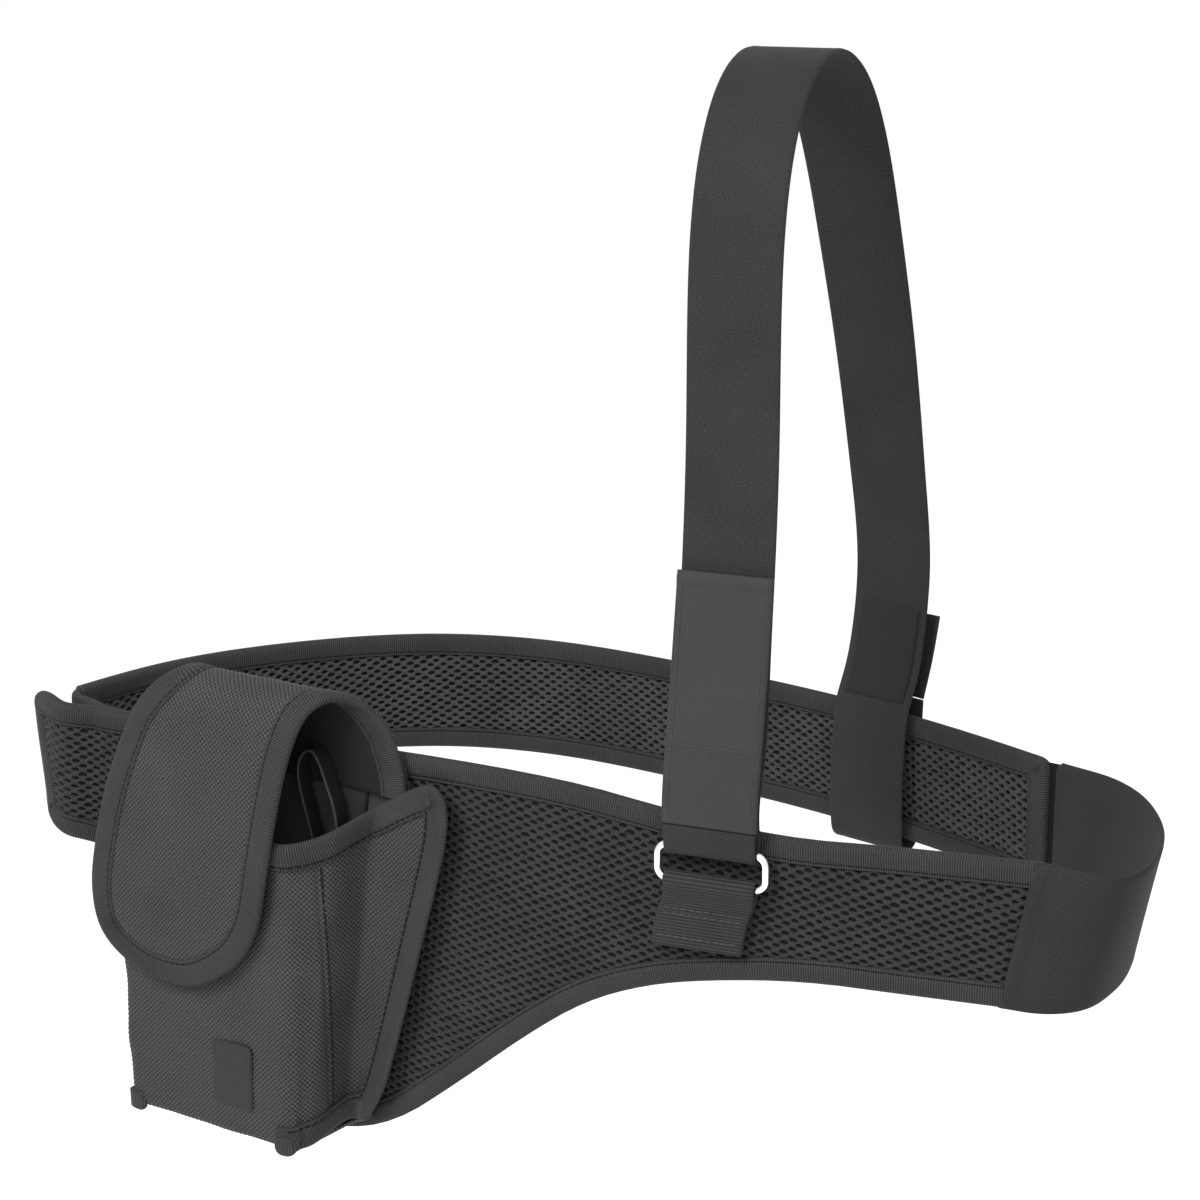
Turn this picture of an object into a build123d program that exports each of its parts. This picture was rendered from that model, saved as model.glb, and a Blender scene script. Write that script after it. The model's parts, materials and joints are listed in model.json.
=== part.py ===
from build123d import *
import math
import os

# Carrying harness for an avalanche transceiver: a padded hip belt with a pouch and a shoulder strap.
# Millimetres. +X runs to the wearer's left along the belt, +Y to the wearer's back, +Z up.
# The origin is the middle of the belt's loop, level with the belt's top edge.

# Thicknesses of the soft goods
MESH = 1.4
FOAM = 2.2
PAD = 2 * MESH + FOAM
BINDING = 6.2
WEBBING = 1.5
HOOK = 1.1
CLOTH = 1.6
FLAP_BINDING = 4.4
GAP = 0.3

# Widths
BINDING_WIDTH = 10.0
FLAP_EDGE = 9.0
STRAP_WIDTH = 38.0
TONGUE_WIDTH = 39.5
BELT_HEIGHT = 57.0

# Ring
RING_WIRE = 3.2
RING_WIDTH = 48.0
RING_HEIGHT = 17.0
RING_CORNER = 4.2
RING_X = 92.6
RING_Y = -108.4
RING_Z = -16.0
BAR_RISE = (RING_HEIGHT - RING_WIRE) / 2

# Pouch frame: a to the wearer's left along the pouch, n outwards from the belt, z up
POUCH_X = -130.0
POUCH_Y = -82.0
POUCH_TURN = -11.0
POUCH_FLOOR = -167.0
POUCH_TOP = 14.0
LEASH_OUT = 8.5
PATCH_A = -6.0

# Where the moving pieces part from the rest
CREASE_X = -224.6
FLAP_HINGE_Z = 10.6
TONGUE_FOOT_Z = 1.0
TONGUE_TOP_Z = 98.5
REAR_JOIN_Z = 45.0
REAR_TAB_Z = 6.0

# Belt in plan: middle of the pad's thickness
FRONT_PLAN = [
    (-226, -72.5), (-213, -70), (-200, -70), (-160, -75.5), (-120, -82), (-45, -93),
    (25, -98), (97, -100.5), (160, -101), (222, -100.5),
]
BACK_PLAN = [
    (194, 24), (160, 43), (117, 64), (54, 87), (-11, 103), (-66, 111), (-125, 102),
    (-181, 64), (-221, 11), (-238.6, -40),
]
WING_PLAN = [(-237, -46), (-228, -51), (-213, -58.6), (-200, -62.5), (-160, -68.5), (-122, -74.8)]
TAIL_PLAN = [(-227.3, -72.2), (-233, -69.5), (-240, -64), (-247.5, -57.5)]

# Front panel in elevation: (x, z) along its top edge and along its lower edge
FRONT_TOP = [
    (-226, -1), (-200, 0), (-120, 5), (-45, 9), (25, 8), (71, 2), (117, -3), (167, 0), (222, 1.5),
]
FRONT_LOWER = [
    (-226, -60), (-208, -62), (-193, -78), (-187, -105), (-183, -140), (-168, -164),
    (-135, -172), (-85, -169), (-56, -159), (-25, -134), (8, -105.5), (35, -85.5),
    (62, -73.5), (90, -66.5), (129, -60.5), (170, -59.5), (212, -58.5),
]

# The pouch's free rear edge on its right side, in elevation: outer line and inner line of its binding
GUSSET_OUTER = [
    (-27, 0), (-21.5, -5), (-20.7, -12), (-22.2, -26), (-28.2, -49), (-34.5, -72), (-41.5, -98),
    (-47.5, -119), (-53.5, -139), (-60, -150),
]
GUSSET_INNER = [(-37, -9), (-40.7, -38), (-47.5, -67), (-55.2, -98), (-63.9, -127), (-71, -146)]

SPAN_STEPS = 24
RIBBON_STEPS = 4


def smooth(rows, steps=RIBBON_STEPS):
    """The rows with more between them, on a curve through every row."""
    ends = [rows[0]] + list(rows) + [rows[-1]]
    filled = []
    for i in range(len(rows) - 1):
        four = ends[i : i + 4]
        for k in range(steps):
            t = k / steps
            filled.append(tuple(
                b + 0.5 * t * (c - a + t * (2 * a - 5 * b + 4 * c - d + t * (3 * b - a - 3 * c + d)))
                for a, b, c, d in zip(*four)
            ))
    filled.append(tuple(rows[-1]))
    return filled


def beside(points, distance):
    """Points at a distance to the right of a smooth line through the points."""
    line = Spline(*points)
    moved = []
    for i in range(SPAN_STEPS + 1):
        at = line @ (i / SPAN_STEPS)
        along = line % (i / SPAN_STEPS)
        moved.append((at.X + distance * along.Y, at.Y - distance * along.X))
    return moved


def strip(points, near, far):
    """A flat strip that follows a line, from one distance to the right of it to another."""
    sides = [Spline(*beside(points, near)), Spline(*beside(points, far))]
    ends = [Line(sides[0] @ 0, sides[1] @ 0), Line(sides[0] @ 1, sides[1] @ 1)]
    return make_face([*sides, *ends])


def wall(plan, near, far, low, high):
    """An upright wall over a strip of the plan."""
    return Pos(0, 0, low) * extrude(strip(plan, near, far), high - low)


def front_prism(face):
    """A face drawn in x and z, carried through the front half of the belt."""
    return extrude(Plane.XZ * face, 160)


def polygon(points):
    return make_face(Polyline(*points, close=True))


def ribbon(rows, thickness, shift=0.0):
    """A strip of webbing through rows of (x, y, z, half x, half y, half z).

    The half vector points from the strip's middle line to one edge. The shift moves the strip along
    its normal, which is the direction of travel crossed with the half vector.
    """
    middles = [Vector(*row[:3]) for row in rows]
    halves = [Vector(*row[3:]) for row in rows]
    sections = []
    for i, (middle, half) in enumerate(zip(middles, halves)):
        travel = middles[min(i + 1, len(rows) - 1)] - middles[max(i - 1, 0)]
        normal = travel.cross(half).normalized()
        low = middle + normal * (shift - thickness / 2)
        high = middle + normal * (shift + thickness / 2)
        sections.append(Wire.make_polygon([low - half, low + half, high + half, high - half]))
    return Part() + Solid.make_loft(sections, ruled=True)


def upright_rows(plan, top, bottom):
    """Ribbon rows for a strip that stands on edge along a line of the plan."""
    return [(x, y, (top + bottom) / 2, 0, 0, (top - bottom) / 2) for x, y in smooth(plan)]


# Pouch frame

def to_row(a, n, z):
    """A point of the pouch's own frame in the harness's frame."""
    turn = math.radians(POUCH_TURN)
    x = POUCH_X + a * math.cos(turn) + n * math.sin(turn)
    y = POUCH_Y + a * math.sin(turn) - n * math.cos(turn)
    return (x, y, z)


def pouch_direction(a, n):
    turn = math.radians(POUCH_TURN)
    return (a * math.cos(turn) + n * math.sin(turn), a * math.sin(turn) - n * math.cos(turn), 0)


# Belt, front

def past_front_seam():
    """Everything past the slanted right end of the front panel."""
    return front_prism(polygon([(227, 30), (207, -70), (300, -70), (300, 30)]))


def front_pad_outline():
    """The front pad inside its bindings."""
    upper = Spline(*beside(FRONT_TOP, BINDING_WIDTH))
    lower = Spline(*beside(FRONT_LOWER, -BINDING_WIDTH))
    return make_face([upper, lower, Line(upper @ 0, lower @ 0), Line(upper @ 1, lower @ 1)])


def left_of_crease():
    return Pos(CREASE_X - 50, -80, -40) * Box(100, 120, 300)


def front_layer(near, far, outline):
    layer = wall(FRONT_PLAN, near, far, -200, 40) & front_prism(outline)
    return layer - past_front_seam() - left_of_crease()


def front_panel():
    outline = front_pad_outline()
    layers = {
        "front_inner_mesh": front_layer(-PAD / 2, -PAD / 2 + MESH, outline),
        "front_foam_core": front_layer(-FOAM / 2, FOAM / 2, outline),
        "front_outer_mesh": front_layer(PAD / 2 - MESH, PAD / 2, outline),
    }
    top = strip(FRONT_TOP, 0, BINDING_WIDTH)
    lower = strip(FRONT_LOWER, -BINDING_WIDTH, 0)
    layers["front_top_binding"] = front_layer(-BINDING / 2, BINDING / 2, top)
    layers["front_bottom_binding"] = front_layer(-BINDING / 2, BINDING / 2, lower)
    return layers


def closure_tail():
    """The front panel's free end, which peels outwards about the crease."""
    top, bottom = -0.5, -60.5
    full = upright_rows(TAIL_PLAN, top, bottom)
    inner_plan = TAIL_PLAN[:-1] + [(-242, -62.3)]
    inside = upright_rows(inner_plan, top - BINDING_WIDTH, bottom + BINDING_WIDTH)
    before_start = [(-222, -74.6)] + inner_plan
    cutter = upright_rows(before_start, top - BINDING_WIDTH, bottom + BINDING_WIDTH)
    patch = upright_rows(TAIL_PLAN[1:-1], top - 14, bottom + 14)
    return {
        "closure_tail_pad": ribbon(inside, PAD) - ribbon(patch, HOOK, PAD / 2),
        "closure_tail_binding": ribbon(full, BINDING) - ribbon(cutter, 2 * BINDING),
        "closure_hook_patch": ribbon(patch, HOOK, PAD / 2 + GAP),
    }


# Belt, back

def back_panel():
    pad_top, pad_bottom = -BINDING_WIDTH, BINDING_WIDTH - BELT_HEIGHT
    end = Pos(192, 25, -BELT_HEIGHT / 2) * Rot(0, 0, -30) * Box(16, 40, BELT_HEIGHT - 2 * BINDING_WIDTH)
    layers = {
        "back_outer_cloth": wall(BACK_PLAN, PAD / 2 - MESH, PAD / 2, pad_bottom, pad_top) - end,
        "back_foam_core": wall(BACK_PLAN, -FOAM / 2, FOAM / 2, pad_bottom, pad_top) - end,
        "back_inner_mesh": wall(BACK_PLAN, -PAD / 2, -PAD / 2 + MESH, pad_bottom, pad_top) - end,
    }
    whole = wall(BACK_PLAN, -BINDING / 2, BINDING / 2, pad_bottom, pad_top)
    layers["back_end_binding"] = whole & end
    layers["back_top_binding"] = wall(BACK_PLAN, -BINDING / 2, BINDING / 2, pad_top, 0)
    layers["back_bottom_binding"] = wall(BACK_PLAN, -BINDING / 2, BINDING / 2, -BELT_HEIGHT, pad_bottom)
    return layers


def overlap_wing():
    """The back belt's end, turned in behind the front panel, with the loop face outwards."""
    rows = upright_rows(WING_PLAN, -1, -57)
    patch = upright_rows(WING_PLAN[2:], -8, -50)
    return {
        "overlap_wing": ribbon(rows, 3.0),
        "wing_loop_patch": ribbon(patch, HOOK, 1.9 + HOOK / 2),
    }


def elastic_corner():
    """Smooth elastic from the front panel's slanted end to the back belt's end."""
    top = [
        (222.4, -100.5, 1.5), (238, -104, 1), (250, -101, 0), (257, -88, 0), (258, -68, 0),
        (255, -46, 0), (247, -22, 0), (235, -1, 0), (220, 13, 0), (206, 19.5, 0),
    ]
    bottom = [
        (210.5, -100.5, -59), (224, -99, -59.5), (236, -92, -59), (242, -80, -58), (245, -65, -57),
        (245, -47, -56), (241, -27, -55), (232, -8, -54), (220, 6, -53), (206.5, 14.5, -52),
    ]
    rows = []
    for high, low in zip(smooth(top), smooth(bottom)):
        middle = [(h + b) / 2 for h, b in zip(high, low)]
        half = [(h - b) / 2 for h, b in zip(high, low)]
        rows.append((*middle, *half))
    hem = [(204.5, 20.0, -25.5, 0, 1, 26.5), (196.5, 23.5, -27, 0, 0.5, 27)]
    return {"elastic_panel": ribbon(rows, 2.0), "elastic_hem": ribbon(hem, 3.6)}


# Pouch

def pouch_block(grow, floor, ceiling):
    """The pouch as a solid block; its right side dips in, then stands out again along the belt."""
    levels = []
    for z in (floor, ceiling):
        up = (z - POUCH_FLOOR) / -POUCH_FLOOR
        half = 44.5 + 4.5 * up
        ridge, valley, edge = half + 6 + 11 * up, half + 9.5 + 15.5 * up, half + 18.5 + 38.5 * up
        corners = [
            (-half - grow, -14), (-half - grow, 28), (-half + 5, 33 + grow), (half - 5, 33 + grow),
            (half + grow, 29), (ridge + grow, 27 - 7 * up), (valley + grow, 5 + grow),
            (edge + grow, 7 + grow), (edge + grow, -14),
        ]
        levels.append(Wire.make_polygon([to_row(a, n, z) for a, n in corners]))
    return Part() + Solid.make_loft(levels, ruled=True)


def above_line(points, plane, depth):
    """Everything above a smooth line drawn in an upright plane."""
    line = Spline(*points)
    start, end = line @ 0, line @ 1
    sides = [Line(end, (end.X, 60)), Line((end.X, 60), (start.X, 60)), Line((start.X, 60), start)]
    return extrude(plane * make_face([line, *sides]), depth)


def mouth_cut(drop):
    """Everything above the mouth's rim, which is S-shaped along the right side."""
    right = [
        (0, -27), (30, -27), (54, -26.5), (65, -21.5), (72, -16), (84, -8.2), (92, -3.8), (100, -0.5),
        (107, 0.3), (116, 0.3),
    ]
    left = [(-20, -3), (0, -5), (8, -9), (15, -16), (24, -25), (33, -27), (50, -27)]
    front = Plane(origin=to_row(0, -40, -drop), x_dir=pouch_direction(1, 0), z_dir=pouch_direction(0, 1))
    side = Plane(origin=to_row(0, 0, -drop), x_dir=pouch_direction(0, 1), z_dir=pouch_direction(-1, 0))
    return above_line(right, front, 120) + above_line(left, side, 120)


def behind_pouch(depth):
    """Everything on the belt's side of a surface that stands a depth out from the pad's middle."""
    return wall(FRONT_PLAN, -30, depth, -200, 60)


def back_wall_outline(inset):
    return polygon([
        (-178 + inset, FLAP_HINGE_Z - 1 - inset), (-46 - inset, FLAP_HINGE_Z - 1 - inset),
        (-42.5 - inset, -6 - inset), (-27 - inset, -14 - inset), (-58 - inset, -140 + inset),
        (-93 - inset, POUCH_FLOOR + inset), (-175 + inset, POUCH_FLOOR + inset),
    ])


def pouch_back():
    start = PAD / 2 + 0.7
    outer = wall(FRONT_PLAN, start, start + CLOTH, -200, 40) & front_prism(back_wall_outline(0))
    spine = [(x - 5, z) for x, z in GUSSET_OUTER[2:9]]
    lip = polygon(spine + [(x - CLOTH, z) for x, z in reversed(spine)])
    start += CLOTH
    lining = wall(FRONT_PLAN, start, start + 0.8, -200, 5) & front_prism(back_wall_outline(2))
    return {
        "pouch_back_wall": outer + (wall(FRONT_PLAN, PAD / 2 + 0.7, 10.2, -200, 40) & front_prism(lip)),
        "pouch_back_lining": lining - front_prism(lip),
    }


def gusset_bindings():
    """Bound rear edges of the gussets: the right one stands off the belt, the left one lies on it."""
    right = polygon(GUSSET_OUTER + [(-80, -158)] + GUSSET_INNER[::-1])
    left = polygon([(-185, -4), (-179, -2), (-176.5, -165), (-181, -166)])
    return {
        "right_gusset_binding": wall(FRONT_PLAN, 10.2, 13.4, -200, 40) & front_prism(right),
        "left_gusset_binding": wall(FRONT_PLAN, BINDING / 2 + 0.1, BINDING / 2 + 3.6, -200, 40)
        & front_prism(left),
    }


def pouch_shell():
    backing = BINDING / 2 + 3.8
    behind = behind_pouch(backing)
    bottom_top = POUCH_FLOOR + CLOTH
    outer = pouch_block(0, bottom_top, POUCH_TOP)
    inner = pouch_block(-CLOTH, POUCH_FLOOR - 10, POUCH_TOP + 10)
    walls = outer - inner - behind
    rim = pouch_block(0.9, POUCH_FLOOR, POUCH_TOP) - pouch_block(-CLOTH - 0.6, POUCH_FLOOR - 10, POUCH_TOP + 10)
    rim = rim - behind
    past_edge = front_prism(polygon([(-37, 40), *GUSSET_INNER, (-80, -158), (-80, -200), (20, -200), (20, 40)]))
    seam = to_row(52, 15, POUCH_FLOOR + 5.5)
    right_side = Pos(*seam) * Rot(0, 0, POUCH_TURN) * Box(34, 44, 9)
    bottom_edge = (pouch_block(1.0, POUCH_FLOOR, POUCH_FLOOR + 12) - pouch_block(0.05, POUCH_FLOOR - 1, POUCH_TOP))
    floor = pouch_block(0, POUCH_FLOOR, bottom_top) - behind
    return {
        "pouch_front_shell": walls - mouth_cut(9) - past_edge,
        "mouth_binding": (rim & mouth_cut(8.9)) - mouth_cut(0) - past_edge,
        "pouch_bottom": floor,
        "pouch_bottom_binding": (bottom_edge - behind) & right_side,
    }


def pouch_box(a, n, z, width, depth, height, radius):
    """A rounded patch on the pouch's front, centred at a and z, starting at n."""
    patch = extrude(RectangleRounded(width, height, radius), depth)
    face = Plane(origin=to_row(a, n, z), x_dir=pouch_direction(1, 0), z_dir=pouch_direction(0, 1))
    return face * patch


def pouch_fittings():
    tabs = [
        Pos(*to_row(side * 43, 35.4, POUCH_FLOOR + 4)) * Rot(0, 0, POUCH_TURN) * Box(5, 2.4, 9)
        for side in (-1, 1)
    ]
    side_patch = wall(FRONT_PLAN, 6.2, 6.2 + HOOK, -26, -2)
    return {
        "pouch_corner_tabs": tabs[0] + tabs[1],
        "pouch_loop_patch": pouch_box(PATCH_A, 33.05, -62, 50, HOOK, 40, 3),
        "label_patch": pouch_box(14, 33.05, -137, 17, 1.2, 27, 2.5),
        "side_closure_patch": side_patch & front_prism(polygon([(-76, -4), (-62, -4), (-66, -26), (-78, -26)])),
    }


def leash_loop():
    """A narrow tape loop for the transceiver's own lanyard, standing up from its anchor."""
    path = [
        (47, -31.5), (43, -18), (40, -4), (42, 4), (47, 7), (51, 3), (54, -4), (58, -14), (60, -24),
        (60.5, -31.5),
    ]
    rows = []
    for a, z in smooth(path):
        rows.append((*to_row(a, LEASH_OUT, z), *pouch_direction(0, 4)))
    anchor = Pos(*to_row(53.5, LEASH_OUT, -36.5)) * Rot(0, 0, POUCH_TURN) * Box(19, 9, 7)
    return {"leash_loop": ribbon(rows, 0.9), "leash_anchor": anchor}


# Flap

def flap_rows(inset, start=0.0):
    """The flap from its root on the back wall, over the arch, to its round tip, as ribbon rows.

    Each station holds the flap's middle and half width along the pouch, its distance out and its height.
    """
    stations = [
        (35.5, 50, 2.7, FLAP_HINGE_Z + 0.3), (34, 48.5, 3.4, 20), (29, 45, 7.4, 29.5), (26, 40, 16.5, 34),
        (18.5, 41, 25.5, 30), (11.3, 43.4, 30.5, 19), (6.5, 44.5, 33.5, 4), (0.3, 46.7, 36.4, -20),
        (-5.6, 47.4, 37.8, -48), (-8, 47.2, 38.2, -64), (-11.5, 41.8, 38.2, -80), (-13.5, 32.5, 38.2, -90),
        (-13, 19, 38.2, -97.5), (-12, 8, 38.2, -100.3),
    ]
    rows = []
    for index, (a, half, n, z) in enumerate(stations):
        lift = inset if z < -95 else inset * 0.8 if z < -85 else inset * 0.4 if z < -70 else 0
        width = max(half - inset, 2)
        if index == 0:
            z -= start
        rows.append((*to_row(a, n, z + lift), *pouch_direction(width, 0)))
    return smooth(rows, 3)


def flap():
    rows = flap_rows(FLAP_EDGE + 0.6)
    ring = ribbon(flap_rows(0), FLAP_BINDING) - ribbon(flap_rows(FLAP_EDGE, 12), 3 * FLAP_BINDING)
    return {
        "flap_shell": ribbon(rows, 1.0, 1.0),
        "flap_foam": ribbon(rows, 1.0, 0.0),
        "flap_lining": ribbon(rows, 0.8, -0.9),
        "flap_binding": ring,
        "flap_hook_patch": pouch_box(PATCH_A, 34.6, -62, 46, HOOK, 36, 3),
    }


# Strap adjuster

def across(x, y, z, width=STRAP_WIDTH, turn=0.0):
    """A ribbon row whose width lies level, turned about the vertical."""
    half = width / 2
    angle = math.radians(turn)
    return (x, y, z, half * math.cos(angle), half * math.sin(angle), 0)


def arc_rows(y, z, radius, first, last, width, x=RING_X, steps=8):
    """Ribbon rows round a bar that runs along X; angles are from straight out, turning upwards."""
    rows = []
    for i in range(steps + 1):
        angle = math.radians(first + (last - first) * i / steps)
        rows.append(across(x, y - radius * math.cos(angle), z + radius * math.sin(angle), width))
    return rows


def adjuster_ring():
    outline = RectangleRounded(RING_WIDTH - RING_WIRE, RING_HEIGHT - RING_WIRE, RING_CORNER)
    path = Plane.XZ * outline.wire()
    start = path @ 0
    wire = Plane(origin=start, z_dir=path % 0) * Circle(RING_WIRE / 2)
    return {"adjuster_ring": Pos(RING_X, RING_Y, RING_Z) * sweep(wire, path=path)}


def keeper_tab():
    """Webbing folded over the ring's lower bar and sewn flat to the belt."""
    radius = RING_WIRE / 2 + GAP + WEBBING / 2
    bar_z = RING_Z - BAR_RISE
    front_leg = [across(86, -107.0, -52), across(88, -107.2, -40), across(91.5, -109.0, bar_z - 6)]
    loop = arc_rows(RING_Y, bar_z, radius, 0, 180, STRAP_WIDTH, x=92.2)
    back_leg = [across(91.5, -105.6, bar_z - 6), across(88, -105.2, -40), across(86, -105.2, -52)]
    return {"keeper_tab": ribbon(front_leg + loop + back_leg, WEBBING)}


LOWER_RUN = [(92.6, -107.0, 8), (92.5, -101.5, 26), (92.4, -96.5, 60), (92, -91.8, TONGUE_TOP_Z)]
TONGUE_RUN = [
    (92.6, -111.4, TONGUE_FOOT_Z), (92.6, -110.9, 12), (92.8, -108.0, 32), (92.8, -102.5, 62),
    (92.6, -95.8, TONGUE_TOP_Z),
]


def strap_adjuster():
    """The strap's lower end: round the ring's upper bar and up the outside as a gripping tongue."""
    radius = RING_WIRE / 2 + GAP + WEBBING / 2
    bar_z = RING_Z + BAR_RISE
    foot = [across(RING_X, -111.2, TONGUE_FOOT_Z - 0.6)]
    fold = arc_rows(RING_Y, bar_z, radius, 0, -180, STRAP_WIDTH)
    lower = [across(*point) for point in LOWER_RUN]
    run = ribbon(foot + fold + smooth(lower), WEBBING)
    tongue_rows = smooth([across(*point, TONGUE_WIDTH) for point in TONGUE_RUN])
    patch_rows = [across(x, y, z, 32) for x, y, z in smooth([LOWER_RUN[2], LOWER_RUN[3]])]
    hook_rows = [across(x, y, z, 32) for x, y, z in smooth([TONGUE_RUN[3], TONGUE_RUN[4]])]
    return {
        "strap_lower_run": run,
        "strap_loop_patch": ribbon(patch_rows, 0.7, -WEBBING / 2 - 0.45),
        "strap_tongue": ribbon(tongue_rows, 2.2),
        "tongue_hook_patch": ribbon(hook_rows, 0.7, 1.55),
    }


# Shoulder strap and rear fastening

FRONT_RUN = [
    (91.9, -91.6, TONGUE_TOP_Z + 1.0), (90.5, -84.5, 146), (88.6, -79, 200), (88.4, -69.5, 250),
    (88.2, -50, 277), (88, -10, 290.5),
]
REAR_RUN = [
    (88, -8.8, 290.5, 0), (89, 20, 280, 0), (90.5, 45, 252, -1), (92.3, 64, 212, -3), (95, 84, 156, -7),
    (100, 92, 97, -13), (104.5, 88, 60, -16), (105.2, 84.3, REAR_JOIN_Z + 0.8, -17),
]
INNER_LEG = [
    (105.3, 83.9, REAR_JOIN_Z, -17), (106, 76, 28, -17), (106, 66.5, 14, -17), (105, 59.5, 3, -17),
    (104.5, 57.2, -10, -17), (104.5, 57, -53, -17),
]
OUTER_LEG = [(108, 74.5, -54, -21.5), (108, 74.8, -20, -21.5), (108, 75.4, REAR_TAB_Z - 0.6, -21.5)]
REAR_TAB = [(108, 75.6, REAR_TAB_Z, -21.5), (109, 82, 20, -20), (109.6, 90, 40, -18)]


def turned(row, width=STRAP_WIDTH):
    x, y, z, turn = row
    return across(x, y, z, width, turn)


def shoulder_strap():
    front = smooth([across(*point) for point in FRONT_RUN], 6)
    rear = smooth([turned(row) for row in REAR_RUN], 5)
    return {"strap_front_run": ribbon(front, WEBBING), "strap_rear_run": ribbon(rear, WEBBING)}


def rear_fastening():
    under = [(104.8, 58.4, -58.6, -18), (106, 65.5, -61.6, -19.5), (107.4, 72.5, -59.2, -21)]
    rows = smooth([turned(row) for row in INNER_LEG + under + OUTER_LEG], 4)
    tab = smooth([turned(row) for row in REAR_TAB], 5)
    hook = smooth([turned(row, 32) for row in REAR_TAB[1:]], 5)
    patch = smooth([turned(row, 32) for row in INNER_LEG[:3]], 4)
    return {
        "rear_loop": ribbon(rows, WEBBING),
        "rear_loop_patch": ribbon(patch, 0.7, -WEBBING / 2 - 0.45),
        "rear_tab": ribbon(tab, WEBBING),
        "rear_tab_hook_patch": ribbon(hook, 0.7, -WEBBING / 2 - 0.45),
    }


def main():
    os.makedirs("parts", exist_ok=True)
    groups = [
        front_panel, closure_tail, back_panel, overlap_wing, elastic_corner, pouch_back, gusset_bindings,
        pouch_shell, pouch_fittings, leash_loop, flap, adjuster_ring, keeper_tab, strap_adjuster,
        shoulder_strap, rear_fastening,
    ]
    for group in groups:
        for name, shape in group().items():
            export_step(shape, f"parts/{name}.step")


main()
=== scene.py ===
import json
import math

import bpy
import numpy as np
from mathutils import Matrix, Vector
from mathutils.kdtree import KDTree

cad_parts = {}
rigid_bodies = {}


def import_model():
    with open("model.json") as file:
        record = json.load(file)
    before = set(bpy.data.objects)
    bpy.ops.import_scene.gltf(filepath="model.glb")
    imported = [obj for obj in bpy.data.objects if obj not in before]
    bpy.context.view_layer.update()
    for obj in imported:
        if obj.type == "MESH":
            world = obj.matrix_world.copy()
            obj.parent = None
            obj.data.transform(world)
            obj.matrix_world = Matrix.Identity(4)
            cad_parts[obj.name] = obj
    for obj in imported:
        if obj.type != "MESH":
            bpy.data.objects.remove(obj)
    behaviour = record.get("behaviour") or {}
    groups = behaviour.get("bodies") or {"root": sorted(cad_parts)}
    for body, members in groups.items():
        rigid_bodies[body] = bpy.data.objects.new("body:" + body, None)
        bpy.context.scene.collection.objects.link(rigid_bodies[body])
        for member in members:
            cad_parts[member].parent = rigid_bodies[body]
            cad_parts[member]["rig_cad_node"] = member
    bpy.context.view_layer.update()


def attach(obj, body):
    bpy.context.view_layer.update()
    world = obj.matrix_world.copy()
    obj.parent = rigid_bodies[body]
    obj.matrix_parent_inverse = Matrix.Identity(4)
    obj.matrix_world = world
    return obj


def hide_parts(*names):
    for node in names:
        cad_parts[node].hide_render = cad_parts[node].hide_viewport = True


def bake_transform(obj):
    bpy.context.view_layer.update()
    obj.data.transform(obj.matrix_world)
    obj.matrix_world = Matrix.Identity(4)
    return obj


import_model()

# Looks of the avalanche transceiver harness. Millimetres in this file; a piece is scaled to metres
# as it is made. The curves repeat the CAD model's: x to the wearer's left, y to the back, z up.
MM = 0.001
SEED = 7

# Belt pads and their binding tape; a face cloth starts under the tape
PAD_HALF = 2.5
BINDING_HALF = 3.1
BINDING_WIDTH = 10.0
BINDING_SEAM = 8.5
FACE_START = 6.5
FOAM_START = 5.0
BELT_HEIGHT = 57.0
SEAM_GAP = 6.7

# Webbing and the patches sewn to it
WEBBING = 1.5
STRAP_HALF = 19.0
TONGUE_HALF = 19.75
TONGUE_THICK = 2.2
PILE_HALF = 15.5
PILE_THICK = 0.8

# Weaves and stitches
RIB_PITCH = 1.0
RIB_DEPTH = 0.2
WEAVE_PITCH = 1.12
WEAVE_DEPTH = 0.3
STITCH_PITCH = 3.3
STITCH_LENGTH = 2.8
# wider stitches where the seam's dark line is broad: partly the thread, partly painted shade of the stitch
# groove
STITCH_WIDTH_WITH_GROOVE_SHADE = 1.3

# Belt in plan and in elevation
TAIL_PLAN = [(-252, -53.4), (-247.5, -57.5), (-240, -64), (-233, -69.5)]
FRONT_PLAN = [
    (-226, -72.5), (-213, -70), (-200, -70), (-160, -75.5), (-120, -82), (-45, -93),
    (25, -98), (97, -100.5), (160, -101), (222, -100.5),
]
BACK_PLAN = [
    (194, 24), (160, 43), (117, 64), (54, 87), (-11, 103), (-66, 111), (-125, 102),
    (-181, 64), (-221, 11), (-238.6, -40),
]
WING_PLAN = [
    (-238.3, -38), (-238.4, -43), (-235.5, -47.3), (-228, -51), (-213, -58.6), (-200, -62.5),
    (-160, -68.5), (-122, -74.8),
]
FRONT_TOP = [
    (-226, 3), (-213, 2.2), (-200, 1), (-120, 5), (-45, 9), (25, 8), (71, 2), (117, -3), (167, 0),
    (221, 1.5),
]
TAIL_END = [
    (-235, 4), (-243, 3), (-248.5, 1), (-250.8, -3), (-249.8, -10), (-248.2, -18), (-246, -26),
    (-243.5, -35), (-241.4, -44), (-240.8, -51), (-237.5, -55.6),
]
FRONT_LOWER = [
    (-228, -58.8), (-216, -61), (-205, -64.5), (-193, -78), (-187, -105), (-183, -140), (-168, -164),
    (-135, -172), (-85, -169), (-56, -159), (-25, -134), (8, -105.5), (35, -85.5),
    (62, -73.5), (90, -66.5), (129, -60.5), (170, -59.5), (209, -58.5),
]

# Pouch frame: a to the wearer's left along the pouch, n outwards from the belt, z up
POUCH_X = -130.0
POUCH_Y = -82.0
POUCH_TURN = math.radians(-11)
POUCH_FLOOR = -167.0
POUCH_TAPE = 11.5
POUCH_TAPE_HALF = 1.7
LEASH_OUT = 8.5
LEASH_HALF = 4.0
PATCH_A = -6.0
PATCH_Z = -62.0

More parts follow.
